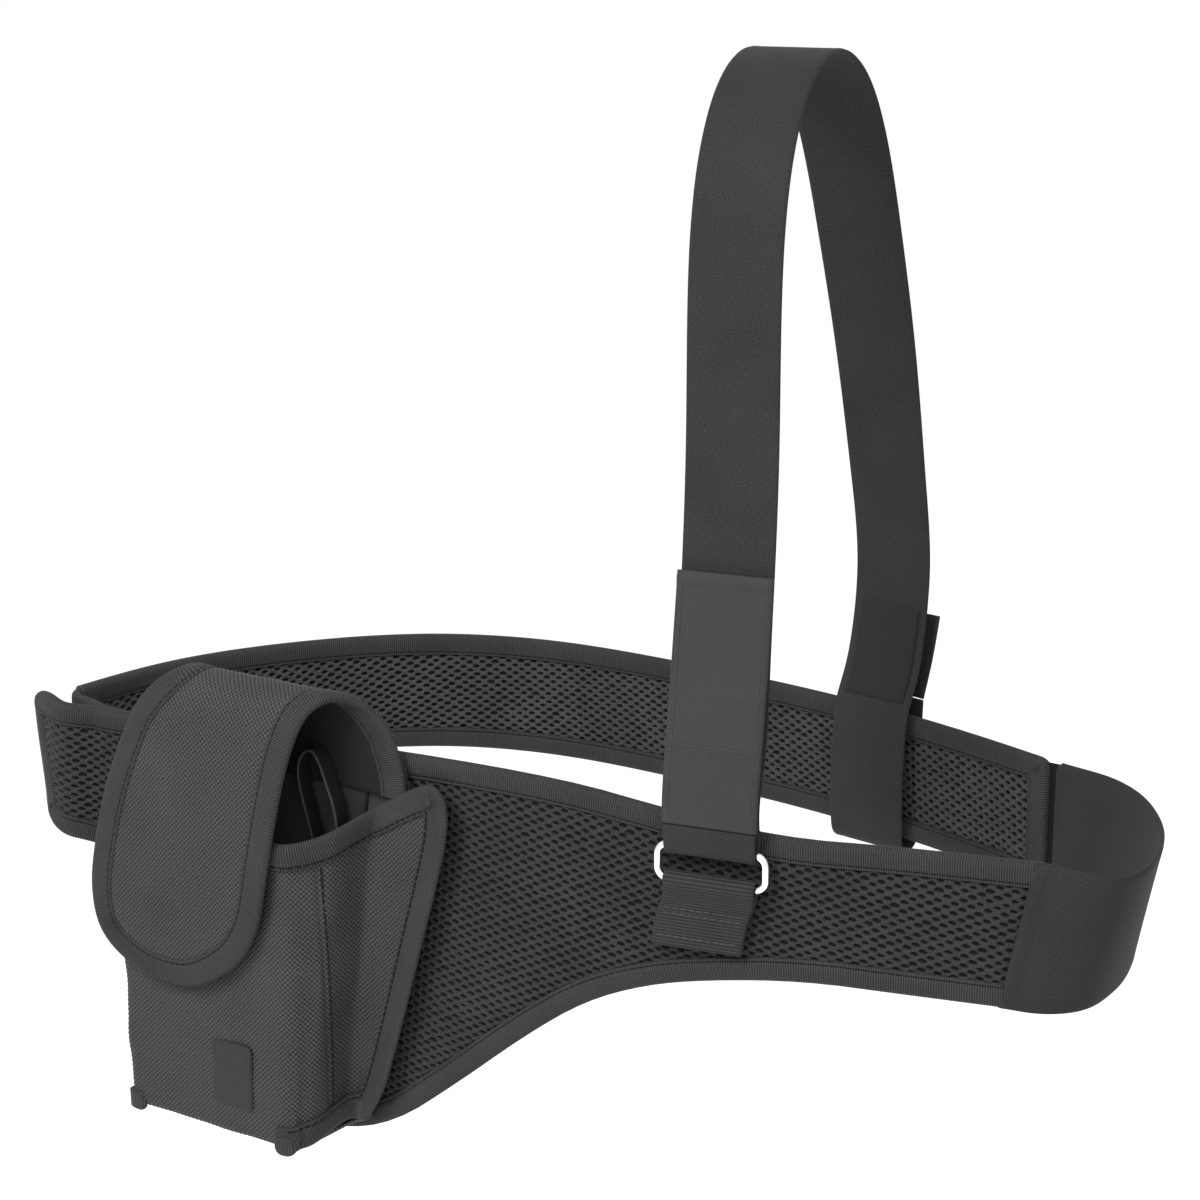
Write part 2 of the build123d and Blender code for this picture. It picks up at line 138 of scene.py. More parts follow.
# Strap adjuster
RING_X = 92.6
RING_Y = -108.4
RING_Z = -16.0
RING_WIRE = 3.2
BAR_RISE = 6.9


# ---------------------------------------------------------------- curves and surfaces

class Curve:
    """A smooth curve through rows of numbers, read by its length over the first few columns."""

    def __init__(self, rows, room=3, smooth=True, count=1500):
        rows = np.array(rows, float)
        self.rows = self.spline(rows, room, count) if smooth else rows
        steps = np.linalg.norm(np.diff(self.rows[:, :room], axis=0), axis=1)
        self.rows = self.rows[np.r_[True, steps > 1e-7]]
        steps = steps[steps > 1e-7]
        self.lengths = np.r_[0, np.cumsum(steps)]
        self.length = self.lengths[-1]
        self.slopes = np.gradient(self.rows, self.lengths, axis=0)

    @staticmethod
    def spline(rows, room, count):
        """A natural cubic spline, spaced by the chords between the rows."""
        gaps = np.linalg.norm(np.diff(rows[:, :room], axis=0), axis=1)[:, None]
        knots = np.r_[0, np.cumsum(gaps)]
        system = np.eye(len(rows))
        pull = np.zeros_like(rows)
        for i in range(1, len(rows) - 1):
            before, after = gaps[i - 1, 0], gaps[i, 0]
            system[i, i - 1 : i + 2] = before, 2 * (before + after), after
            pull[i] = 6 * ((rows[i + 1] - rows[i]) / after - (rows[i] - rows[i - 1]) / before)
        bend = np.linalg.solve(system, pull)
        fine = np.linspace(0, knots[-1], count)
        i = np.clip(np.searchsorted(knots, fine, side="right") - 1, 0, len(rows) - 2)
        h = gaps[i]
        past = fine[:, None] - knots[i][:, None]
        left = h - past
        cubic = (bend[i] * left**3 + bend[i + 1] * past**3) / (6 * h)
        near, far = rows[i] / h - bend[i] * h / 6, rows[i + 1] / h - bend[i + 1] * h / 6
        return cubic + near * left + far * past

    def at(self, s):
        return np.stack([np.interp(s, self.lengths, column) for column in self.rows.T], -1)

    def slope(self, s):
        return np.stack([np.interp(s, self.lengths, column) for column in self.slopes.T], -1)

    def find(self, value, column=0):
        """The length at which a steadily changing column has a value."""
        order = 1 if self.rows[-1, column] > self.rows[0, column] else -1
        return np.interp(value, self.rows[::order, column], self.lengths[::order])

    def near(self, point):
        """The length at which the curve comes closest to a point."""
        gaps = np.linalg.norm(self.rows[:, : len(point)] - np.array(point), axis=1)
        return self.lengths[np.argmin(gaps)]


def path(points):
    """A straight-sided line through places (s, t) on a surface."""
    return Curve(points, room=2, smooth=False)


def soften(points, times=4):
    """A polyline with its corners cut again and again, which rounds them without overshooting."""
    rows = np.array(points, float)
    for _ in range(times):
        near = rows[:-1] * 0.75 + rows[1:] * 0.25
        far = rows[:-1] * 0.25 + rows[1:] * 0.75
        middle = np.stack([near, far], 1).reshape(-1, rows.shape[1])
        rows = np.vstack([rows[:1], middle, rows[-1:]])
    return rows


def unit(vectors):
    return vectors / np.maximum(np.linalg.norm(vectors, axis=-1, keepdims=True), 1e-9)


class Bent:
    """A sheet bent one way only: s along a line in one plane, t straight across, d off its face."""

    def __init__(self, line, place, out=1):
        self.line = line
        self.place = place
        self.out = out

    def at(self, s, t, d):
        s, t, d = np.broadcast_arrays(s, t, d)
        point = self.line.at(s)
        slope = unit(self.line.slope(s))
        return self.place(
            point[..., 0] + self.out * d * slope[..., 1], point[..., 1] - self.out * d * slope[..., 0], t
        )


class Strip:
    """Webbing through rows of (x, y, z, half x, half y, half z); d is along travel crossed with half."""

    def __init__(self, rows):
        self.line = Curve(rows)

    def half(self, s):
        return np.linalg.norm(self.line.at(s)[..., 3:], axis=-1)

    def at(self, s, t, d):
        s, t, d = np.broadcast_arrays(s, t, d)
        row = self.line.at(s)
        across = unit(row[..., 3:])
        normal = unit(np.cross(self.line.slope(s)[..., :3], across))
        return row[..., :3] + across * t[..., None] + normal * d[..., None]


def level(x, y, z):
    return np.stack(np.broadcast_arrays(x, y, z), -1)


def pouch(a, n, z):
    """Points of the pouch's own frame in the harness's frame."""
    x = POUCH_X + a * math.cos(POUCH_TURN) + n * math.sin(POUCH_TURN)
    y = POUCH_Y + a * math.sin(POUCH_TURN) - n * math.cos(POUCH_TURN)
    return level(x, y, z)


def pouch_direction(a, n):
    return pouch(a, n, 0.0) - pouch(0.0, 0.0, 0.0)


# ---------------------------------------------------------------- mesh builders

def add_piece(name, points, faces, cloth, material):
    """A mesh from points in millimetres, quads, and each point's place on the flat cloth."""
    mesh = bpy.data.meshes.new(name)
    mesh.vertices.add(len(points))
    mesh.vertices.foreach_set("co", (points * MM).astype(np.float32).ravel())
    mesh.loops.add(faces.size)
    mesh.loops.foreach_set("vertex_index", faces.astype(np.int32).ravel())
    mesh.polygons.add(len(faces))
    mesh.polygons.foreach_set("loop_start", np.arange(0, faces.size, 4, dtype=np.int32))
    mesh.polygons.foreach_set("use_smooth", np.full(len(faces), True))
    mesh.update(calc_edges=True)
    place = np.zeros((len(points), 3), np.float32)
    place[:, :2] = cloth * MM
    mesh.attributes.new("cloth", "FLOAT_VECTOR", "POINT").data.foreach_set("vector", place.ravel())
    mesh.materials.append(material)
    piece = bpy.data.objects.new(name, mesh)
    bpy.context.scene.collection.objects.link(piece)
    return piece


def grid_faces(rows, columns, start=0):
    index = np.arange(rows * columns).reshape(rows, columns) + start
    return np.stack([index[:-1, :-1], index[1:, :-1], index[1:, 1:], index[:-1, 1:]], -1).reshape(-1, 4)


def faced_out(points, faces):
    """The faces, turned over where the closed mesh they make is inside out."""
    a, b, c, d = (points[faces[:, k]] for k in range(4))
    volume = np.sum(np.cross(b - a, c - a) * a) + np.sum(np.cross(c - a, d - a) * a)
    return faces if volume > 0 else faces[:, ::-1]


def sandwich(name, top, bottom, cloth, material):
    """A closed solid between two faces, each a grid of points; the cloth's places are the top's."""
    rows, columns = top.shape[:2]
    count = rows * columns
    index = np.arange(count).reshape(rows, columns)
    walls = []
    for line in (index[0], index[:, -1], index[-1, ::-1], index[::-1, 0]):
        walls.append(np.stack([line[:-1], line[1:], line[1:] + count, line[:-1] + count], -1))
    upper = grid_faces(rows, columns)[:, ::-1]
    lower = grid_faces(rows, columns, count)
    points = np.concatenate([top.reshape(-1, 3), bottom.reshape(-1, 3)])
    faces = np.concatenate([upper, lower, *[w[:, ::-1] for w in walls]])
    flat = cloth.reshape(-1, 2)
    return add_piece(name, points, faced_out(points, faces), np.vstack([flat, flat]), material)


EDGE_SHARES = [0.0, 0.012, 0.045, 0.09, 0.2, 0.35, 0.5, 0.65, 0.8, 0.91, 0.955, 0.988, 1.0]


def band(name, strip, start, end, half, thick, material, shift=0.0, step=1.6, crown=None, swell=None):
    """A length of webbing with round edges; crown lifts it off its strip and swell thickens it."""
    s = np.linspace(start, end, max(int((end - start) / step), 3))
    share = np.array(EDGE_SHARES) * 2 - 1
    width = strip.half(s) if half is None else np.full(len(s), half)
    t = width[:, None] * share
    margin = width[:, None] - np.abs(t)
    lip = np.sqrt(np.clip(margin / (thick * 0.6), 0.02, 1))
    selvedge = 0.06 * thick * np.exp(-(((margin - 1.6) / 0.8) ** 2))
    extra = 0 if swell is None else swell(s[:, None])
    rise = (thick / 2 + extra) * lip + selvedge
    bulge = 0 if crown is None else crown(s[:, None], t)
    top = strip.at(s[:, None], t, shift + bulge + rise)
    bottom = strip.at(s[:, None], t, shift + bulge - rise)
    cloth = np.stack(np.broadcast_arrays(s[:, None], t), -1)
    return sandwich(name, top, bottom, cloth, material)


# Share of the tape's width in from the edge, and share of half its thickness
TAPE = [
    (1.0, 0.55), (0.97, 0.86), (0.9, 0.9), (0.85, 0.66), (0.8, 0.93), (0.66, 1.0), (0.45, 1.03),
    (0.28, 1.0), (0.14, 0.86), (0.06, 0.62), (0.015, 0.3), (0.0, 0.08),
]


def binding(name, surface, edge, width=BINDING_WIDTH, half=BINDING_HALF, rise=0.0):
    """Ribbed tape folded over an edge; the cloth lies to the left of the edge's travel."""
    run = np.arange(0, edge.length, RIB_PITCH / 3.6)
    point = edge.at(run)
    slope = unit(edge.slope(run)[:, :2])
    inward = np.stack([-slope[:, 1], slope[:, 0]], -1)
    ridge = RIB_DEPTH * np.cos(2 * math.pi * run / RIB_PITCH)[:, None]
    shares = np.array(TAPE)
    w = (shares[:, 0] * width)[None, :] - ridge * (1 - shares[:, 1])[None, :]
    h = (shares[:, 1] * half)[None, :] + ridge * shares[:, 1][None, :]
    s = point[:, :1] + inward[:, :1] * w
    t = point[:, 1:2] + inward[:, 1:2] * w
    top = surface.at(s, t, rise + h)
    bottom = surface.at(s, t, rise - h)
    cloth = np.stack(np.broadcast_arrays(run[:, None], w), -1)
    return sandwich(name, top, bottom, cloth, TAPE_CLOTH)


def patch(name, place, width, height, thick, radius, material):
    """A rounded patch with a soft edge; place(u, v, d) puts it on what it is sewn to."""
    u = np.linspace(-width / 2, width / 2, int(width / 0.8) + 1)
    v = np.linspace(-height / 2, height / 2, int(height / 0.8) + 1)
    u, v = np.meshgrid(u, v, indexing="ij")
    over_u = np.clip(np.abs(u) - (width / 2 - radius), 0, None)
    over_v = np.clip(np.abs(v) - (height / 2 - radius), 0, None)
    reach = np.hypot(over_u, over_v)
    pull = np.where(reach > 0, np.maximum(over_u, over_v) / np.maximum(reach, 1e-6), 1)
    u = np.sign(u) * (np.abs(u) - over_u * (1 - pull))
    v = np.sign(v) * (np.abs(v) - over_v * (1 - pull))
    edge = np.clip((radius - np.hypot(over_u, over_v) * pull) / 0.9, 0, 1)
    rise = thick * (0.35 + 0.65 * np.sqrt(edge))
    return sandwich(name, place(u, v, rise), place(u, v, 0 * rise), np.stack([u, v], -1), material)


def stitches(name, surface, paths, rise, material, width=0.9, tall=0.36):
    """A row of thread stitches along each path of (s, t)."""
    along = np.array([-0.5, -0.42, -0.15, 0.15, 0.42, 0.5])
    girth = np.array([0.25, 0.8, 1.0, 1.0, 0.8, 0.25])
    around = np.arange(6) / 6 * 2 * math.pi
    points, faces, cloth = [], [], []
    count = 0
    for line in paths:
        for middle in np.arange(STITCH_PITCH / 2, line.length, STITCH_PITCH):
            run = middle + along * STITCH_LENGTH
            point = line.at(run)
            slope = unit(line.slope(run)[:, :2])
            side = width / 2 * girth[:, None] * np.cos(around)[None, :]
            s = point[:, :1] - slope[:, 1:2] * side
            t = point[:, 1:2] + slope[:, :1] * side
            d = rise + tall * girth[:, None] * np.sin(around)[None, :]
            ring = surface.at(s, t, d)
            points.append(ring.reshape(-1, 3))
            cloth.append(np.stack([s, t], -1).reshape(-1, 2))
            index = np.arange(36).reshape(6, 6) + count
            turn = np.roll(index, -1, axis=1)
            faces.append(np.stack([index[:-1], turn[:-1], turn[1:], index[1:]], -1).reshape(-1, 4))
            for end in (index[0], index[-1, ::-1]):
                faces.append(np.array([end[[0, 3, 2, 1]], end[[0, 5, 4, 3]]]))
            count += 36
    return add_piece(name, np.vstack(points), np.vstack(faces), np.vstack(cloth), material)


def within(outline):
    """A test of which points lie inside a closed outline, and how far in from its line."""
    corners = outline.at(np.linspace(0, outline.length, 500))[:, :2]
    following = np.roll(corners, -1, axis=0)
    tree = KDTree(len(corners))
    for i, (s, t) in enumerate(corners):
        tree.insert((s, t, 0), i)
    tree.balance()

    def depth(s, t):
        s, t = np.asarray(s, float).ravel(), np.asarray(t, float).ravel()
        inside = np.zeros(len(s), bool)
        for (s0, t0), (s1, t1) in zip(corners, following):
            crosses = (t0 > t) != (t1 > t)
            with np.errstate(divide="ignore", invalid="ignore"):
                inside ^= crosses & (s < (s1 - s0) * (t - t0) / (t1 - t0) + s0)
        far = np.array([tree.find((x, y, 0))[2] for x, y in zip(s, t)])
        return np.where(inside, far, -far)

    return depth


HOLE_PITCH = (6.5, 4.0)
HOLE_TILT = math.radians(-5)
HOLE_HALF = (1.5, 0.86)
HOLE_RINGS = [(1.25, 0.0), (0.92, -1.1)]


def lattice(name, surface, box, depth, material, rng, face=1):
    """Knitted spacer mesh: six-sided cells, each with an oval hole that runs down into the pad."""
    (s0, s1), (t0, t1) = box
    wide, tall = HOLE_PITCH
    reach = math.hypot(s1 - s0, t1 - t0) / 2
    i = np.arange(-int(reach / wide) - 2, int(reach / wide) + 3)
    j = np.arange(-int(2 * reach / tall) - 2, int(2 * reach / tall) + 3)
    I, J = np.meshgrid(i, j, indexing="ij")
    x = (I + (J % 2) / 2).ravel() * wide
    y = (J / 2).ravel() * tall
    cosine, sine = math.cos(HOLE_TILT), math.sin(HOLE_TILT)
    turn = np.array([[cosine, -sine], [sine, cosine]])
    centre = np.stack([x, y], -1) @ turn.T + [(s0 + s1) / 2, (t0 + t1) / 2]
    centre = centre[np.all((centre > [s0, t0]) & (centre < [s1, t1]), axis=1)]
    centre = centre[depth(centre[:, 0], centre[:, 1]) > FACE_START]
    corners = np.array([(2, 0), (1, 3), (-1, 3), (-2, 0), (-1, -3), (1, -3)]) * [wide / 6, tall / 6]
    rim = np.stack([corners, (corners + np.roll(corners, -1, axis=0)) / 2], 1).reshape(-1, 2) @ turn.T
    angle = np.arange(12) * math.pi / 6
    oval = np.stack([HOLE_HALF[0] * np.cos(angle), HOLE_HALF[1] * np.sin(angle)], -1) @ turn.T
    outer = (centre[:, None, :] + rim).reshape(-1, 2)
    merged, back = np.unique(np.round(outer, 3), axis=0, return_inverse=True)
    rings = [back.reshape(-1, 12)]
    flat, deep = [merged], [np.full(len(merged), 0.12)]
    moved = centre + rng.normal(0, 0.1, centre.shape)
    size = rng.normal(1, 0.07, (len(centre), 1, 1))
    count = len(merged)
    for share, drop in HOLE_RINGS:
        ring = (moved[:, None, :] + oval * share * size).reshape(-1, 2)
        rings.append(np.arange(len(ring)).reshape(-1, 12) + count)
        count += len(ring)
        flat.append(ring)
        deep.append(np.full(len(ring), drop))
    faces = []
    for inner, outside in zip(rings[1:], rings[:-1]):
        after_in, after_out = np.roll(inner, -1, axis=1), np.roll(outside, -1, axis=1)
        faces.append(np.stack([outside, after_out, after_in, inner], -1).reshape(-1, 4)[:, ::face])
    flat, deep = np.vstack(flat), np.concatenate(deep)
    base = padded_height(depth(flat[:, 0], flat[:, 1]))
    points = surface.at(flat[:, 0], flat[:, 1], face * (base + deep))
    return add_piece(name, points, np.vstack(faces), flat, material)


def skin(name, surface, box, step, depth, keep, height, material, back=None):
    """A sheet on an even grid, kept where it lies inside an outline; closed at the back if asked."""
    (s0, s1), (t0, t1) = box
    s = np.arange(s0, s1, step)
    t = np.arange(t0, t1, step)
    S, T = np.meshgrid(s, t, indexing="ij")
    middle = depth((S[:-1, :-1] + step / 2).ravel(), (T[:-1, :-1] + step / 2).ravel())
    faces = grid_faces(len(s), len(t))[middle > keep]
    used, back_index = np.unique(faces, return_inverse=True)
    faces = back_index.reshape(-1, 4)
    flat = np.stack([S.ravel(), T.ravel()], -1)[used]
    points = surface.at(flat[:, 0], flat[:, 1], height(flat[:, 0], flat[:, 1]))
    if back is not None:
        behind = surface.at(flat[:, 0], flat[:, 1], back(flat[:, 0], flat[:, 1]))
        edges = np.concatenate([faces[:, [k, (k + 1) % 4]] for k in range(4)])
        keys = edges.min(1) * len(flat) + edges.max(1)
        _, first, times = np.unique(keys, return_index=True, return_counts=True)
        rim = edges[first[times == 1]]
        count = len(flat)
        walls = np.stack([rim[:, 1], rim[:, 0], rim[:, 0] + count, rim[:, 1] + count], -1)
        faces = np.concatenate([faces, faces[:, ::-1] + count, walls])
        points = np.concatenate([points, behind])
        flat = np.vstack([flat, flat])
        faces = faced_out(points, faces)
    return add_piece(name, points, faces, flat, material)


def weave(s, t):
    """Height of a basket weave: square bumps and dips that alternate both ways."""
    return WEAVE_DEPTH * np.cos(math.pi * s / WEAVE_PITCH) * np.cos(math.pi * t / WEAVE_PITCH)


# ---------------------------------------------------------------- materials

class Nodes:
    """A new material's node tree, with short ways to add what a fabric needs."""

    def __init__(self, name):
        self.material = bpy.data.materials.new(name)
        self.material.use_nodes = True
        self.tree = self.material.node_tree
        self.shader = self.tree.nodes["Principled BSDF"]
        place = self.tree.nodes.new("ShaderNodeAttribute")
        place.attribute_name = "cloth"
        self.place = place.outputs["Vector"]
        split = self.tree.nodes.new("ShaderNodeSeparateXYZ")
        self.tree.links.new(self.place, split.inputs[0])
        self.s, self.t = split.outputs[0], split.outputs[1]

    def feed(self, socket, value):
        if isinstance(value, bpy.types.NodeSocket):
            self.tree.links.new(value, socket)
        else:
            socket.default_value = value

    def math(self, operation, *values):
        node = self.tree.nodes.new("ShaderNodeMath")
        node.operation = operation
        for socket, value in zip(node.inputs, values):
            self.feed(socket, value)
        return node.outputs[0]

    def wave(self, value, pitch):
        """A cosine from -1 to 1 that repeats every pitch millimetres."""
        return self.math("COSINE", self.math("MULTIPLY", value, 2 * math.pi / (pitch * MM)))

    def noise(self, per_mm, detail=2.0):
        scale = self.tree.nodes.new("ShaderNodeVectorMath")
        scale.operation = "MULTIPLY"
        self.feed(scale.inputs[0], self.place)
        scale.inputs[1].default_value = [per_mm / MM] * 3
        node = self.tree.nodes.new("ShaderNodeTexNoise")
        node.inputs["Scale"].default_value = 1.0
        node.inputs["Detail"].default_value = detail
        self.feed(node.inputs["Vector"], scale.outputs[0])
        return node.outputs["Fac"]

    def mix(self, factor, low, high):
        node = self.tree.nodes.new("ShaderNodeMix")
        node.data_type = "RGBA"
        self.feed(node.inputs["Factor"], factor)
        for key, value in (("A", low), ("B", high)):
            socket = next(i for i in node.inputs if i.name == key and i.type == "RGBA")
            self.feed(socket, grey(value) if isinstance(value, float) else value)
        return next(o for o in node.outputs if o.type == "RGBA")

    def finish(self, colour, height, roughness, depth_mm, sheen=0.02, specular=0.12):
        self.feed(self.shader.inputs["Base Color"], colour)
        self.feed(self.shader.inputs["Roughness"], roughness)
        self.shader.inputs["Sheen Weight"].default_value = sheen
        self.shader.inputs["Sheen Roughness"].default_value = 0.5
        self.shader.inputs["Specular IOR Level"].default_value = specular
        bump = self.tree.nodes.new("ShaderNodeBump")
        bump.inputs["Strength"].default_value = 1.0
        bump.inputs["Distance"].default_value = depth_mm * MM
        self.feed(bump.inputs["Height"], height)
        self.tree.links.new(bump.outputs[0], self.shader.inputs["Normal"])
        return self.material


def grey(value):
    """A near-neutral dyed black: the same grey in all three channels, a touch cooler in blue."""
    return (value, value, value * 1.03, 1.0)


def woven(name, dark, light, pitch, depth_mm, roughness=0.72):
    """Two sets of yarns over and under each other, with fine filaments along them."""
    n = Nodes(name)
    checker = n.math("MULTIPLY", n.wave(n.s, 2 * pitch), n.wave(n.t, 2 * pitch))
    over = n.math("MULTIPLY_ADD", checker, 0.5, 0.5)
    filaments = n.noise(1.25, 1.0)
    wear = n.noise(0.03, 3.0)
    amount = n.math("MULTIPLY_ADD", filaments, 0.7, n.math("MULTIPLY", over, 0.8))
    shade = n.mix(n.math("MULTIPLY_ADD", wear, 0.3, n.math("SUBTRACT", amount, 0.4)), dark, light)
    height = n.math("MULTIPLY_ADD", filaments, 0.35, over)
    rough = n.math("MULTIPLY_ADD", wear, 0.16, roughness - 0.08)
    return n.finish(shade, height, rough, depth_mm)


def ribbed(name, dark, light, pitch=RIB_PITCH, depth_mm=0.08):
    """Grosgrain: ribs across the tape, crossed by fine warp threads."""
    n = Nodes(name)
    rib = n.math("MULTIPLY_ADD", n.wave(n.s, pitch), 0.5, 0.5)
    warp = n.math("MULTIPLY_ADD", n.wave(n.t, 0.42), 0.5, 0.5)
    fuzz = n.noise(1.4, 2.0)
    wear = n.noise(0.035, 3.0)
    amount = n.math("MULTIPLY_ADD", fuzz, 0.8, n.math("MULTIPLY", rib, 0.6))
    shade = n.mix(n.math("MULTIPLY_ADD", wear, 0.35, n.math("SUBTRACT", amount, 0.4)), dark, light)
    height = n.math("MULTIPLY_ADD", warp, 0.22, n.math("MULTIPLY_ADD", fuzz, 0.5, rib))
    return n.finish(shade, height, n.math("MULTIPLY_ADD", wear, 0.14, 0.63), depth_mm)


def knitted(name, dark, light, pitch=0.7, depth_mm=0.06):
    """Close knit or elastic webbing: fine columns with a slight diagonal."""
    n = Nodes(name)
    columns = n.wave(n.t, pitch)
    diagonal = n.wave(n.math("ADD", n.s, n.t), pitch * 1.4)
    loops = n.math("MULTIPLY_ADD", columns, 0.25, n.math("MULTIPLY_ADD", diagonal, 0.25, 0.5))
    fuzz = n.noise(1.3, 2.0)
    wear = n.noise(0.03, 4.0)
    amount = n.math("MULTIPLY_ADD", fuzz, 1.3, n.math("MULTIPLY", loops, 0.35))
    shade = n.mix(n.math("MULTIPLY_ADD", wear, 0.5, n.math("SUBTRACT", amount, 0.6)), dark, light)
    height = n.math("MULTIPLY_ADD", fuzz, 0.7, loops)
    return n.finish(shade, height, n.math("MULTIPLY_ADD", wear, 0.12, 0.72), depth_mm)


def fuzzy(name, dark, light, depth_mm=0.4, sheen=0.05):
    """Loop or hook pile: coarse clumps with fine fibres."""
    n = Nodes(name)
    clumps = n.noise(1.6, 3.0)
    fibres = n.noise(5.6, 2.0)
    amount = n.math("MULTIPLY_ADD", fibres, 0.6, n.math("MULTIPLY", clumps, 0.7))
    shade = n.mix(n.math("SUBTRACT", amount, 0.2), dark, light)
    height = n.math("MULTIPLY_ADD", fibres, 0.5, clumps)
    return n.finish(shade, height, n.math("MULTIPLY_ADD", clumps, 0.1, 0.85), depth_mm, sheen)


def edged(name, dark, light, edge):
    """Dark narrow tape with a painted highlight: its outer edge is coloured lighter."""
    n = Nodes(name)
    fuzz = n.noise(2.0, 2.0)
    # painted highlight: past the edge line the colour ramps to the light one over 0.8 mm
    past = n.math("MULTIPLY", n.math("SUBTRACT", n.t, edge * MM), 1 / (0.8 * MM))
    edge_highlight = n.math("MINIMUM", n.math("MAXIMUM", past, 0.0), 1.0)
    shade = n.mix(n.math("MULTIPLY_ADD", fuzz, 0.15, n.math("MULTIPLY", edge_highlight, 0.85)), dark, light)
    return n.finish(shade, fuzz, n.math("MULTIPLY_ADD", fuzz, 0.1, 0.7), 0.05, sheen=0.0)


def chromed():
    """Chromed wire with faint handling marks."""
    n = Nodes("chrome")
    coordinates = n.tree.nodes.new("ShaderNodeTexCoord")
    marks = n.tree.nodes.new("ShaderNodeTexNoise")
    marks.inputs["Scale"].default_value = 900.0
    n.tree.links.new(coordinates.outputs["Object"], marks.inputs["Vector"])
    shade = n.mix(marks.outputs["Fac"], 0.78, 0.92)
    rough = n.math("MULTIPLY_ADD", marks.outputs["Fac"], 0.12, 0.08)
    n.shader.inputs["Metallic"].default_value = 1.0
    return n.finish(shade, marks.outputs["Fac"], rough, 0.01, sheen=0.0, specular=0.5)


MESH_CLOTH = knitted("spacer_mesh", 0.006, 0.034, pitch=0.62, depth_mm=0.12)
# painted light: a lighter copy of the spacer mesh, making up for the shade the front parts cast on the
# back belt's mesh
INNER_MESH_PAINTED_LIGHT = knitted("inner_mesh", 0.01, 0.056, pitch=0.62, depth_mm=0.12)
BALLISTIC = woven("ballistic_nylon", 0.0, 0.05, WEAVE_PITCH, 0.05, roughness=0.6)
TAPE_CLOTH = ribbed("grosgrain", 0.004, 0.04)
STRAP_CLOTH = knitted("strap_webbing", 0.006, 0.026)
ELASTIC_CLOTH = knitted("elastic_webbing", 0.006, 0.024, pitch=0.5)
TONGUE_CLOTH = woven("tongue_webbing", 0.01, 0.036, 0.5, 0.04)
KEEPER_CLOTH = ribbed("keeper_webbing", 0.004, 0.03, pitch=1.4, depth_mm=0.16)
# painted shade: the flap's lining made darker than the pouch's, for the shade inside the flap's arch
LINING_PAINTED_SHADE = woven("lining", 0.004, 0.01, 0.3, 0.03, roughness=0.6)
BACKING_CLOTH = woven("backing", 0.007, 0.018, 0.4, 0.04)
FOAM_FILL = fuzzy("foam", 0.003, 0.007, depth_mm=0.1, sheen=0.0)
PILE = fuzzy("hook_loop", 0.004, 0.024)
PALE_THREAD = ribbed("pale_thread", 0.02, 0.045, pitch=0.9, depth_mm=0.05)
# near-black thread: the thread's own dark colour and painted shade of the groove it lies in
THREAD_WITH_GROOVE_SHADE = ribbed("thread", 0.001, 0.004, pitch=0.45, depth_mm=0.05)
CHROME = chromed()
# painted light: a lighter copy of the lining for the pouch's inside, lifting the deep shade there
POUCH_LINING_PAINTED_LIGHT = woven("pouch_lining", 0.018, 0.038, 0.3, 0.02)
LABEL_CLOTH = ribbed("label", 0.01, 0.028, pitch=1.1, depth_mm=0.1)
# leash tape with a painted highlight along its outer edge
LEASH_CLOTH = edged("leash_tape", 0.004, 0.035, 3.0)


# ---------------------------------------------------------------- shared by the pieces

def smoothstep(value, low, high):
    share = np.clip((value - low) / (high - low), 0, 1)
    return share * share * (3 - 2 * share)


def padded_height(depth):
    """The pad's face: full inside, drawn down towards the binding's stitch line."""
    return PAD_HALF - 0.25 - 1.0 * np.exp(-np.clip(depth - 9.0, 0, 40) / 2.5)


def inset_path(edge, inset, start=0.0):
    """A line that keeps to the left of an edge by an inset."""
    run = np.arange(start, edge.length, 2.0)
    slope = unit(edge.slope(run)[:, :2])
    return path(edge.at(run)[:, :2] + np.stack([-slope[:, 1], slope[:, 0]], -1) * inset)


def closed(edge, corners=()):
    """An outline from an edge's own points and any corners that close it."""
    return path([*edge.rows[:, :2], *corners, edge.rows[0, :2]])


def box_round(edge):
    low, high = edge.rows[:, :2].min(0), edge.rows[:, :2].max(0)
    return (low[0], high[0]), (low[1], high[1])


def quilted(name, surface, box, depth):
    """A pad's foam body, closed, that fills the space behind its face cloths."""
    def front(s, t):
        return np.clip(padded_height(depth(s, t)) - 1.0, 0.3, None)

    return skin(
        name, surface, box, 2.5, depth, FOAM_START, front, FOAM_FILL, back=lambda s, t: -front(s, t)
    )


def put(piece, body, replaced):
    """Hangs the piece on the body it rides on when that is a name, else bakes its transform in place;
    hides the CAD nodes it stands for.
    """
    if isinstance(body, str):
        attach(piece, body)
    else:
        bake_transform(piece)
    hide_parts(*replaced)


# ---------------------------------------------------------------- belt, front

TAIL = ("closure_tail", (-220, -70, -30), (-231, -70, -30))


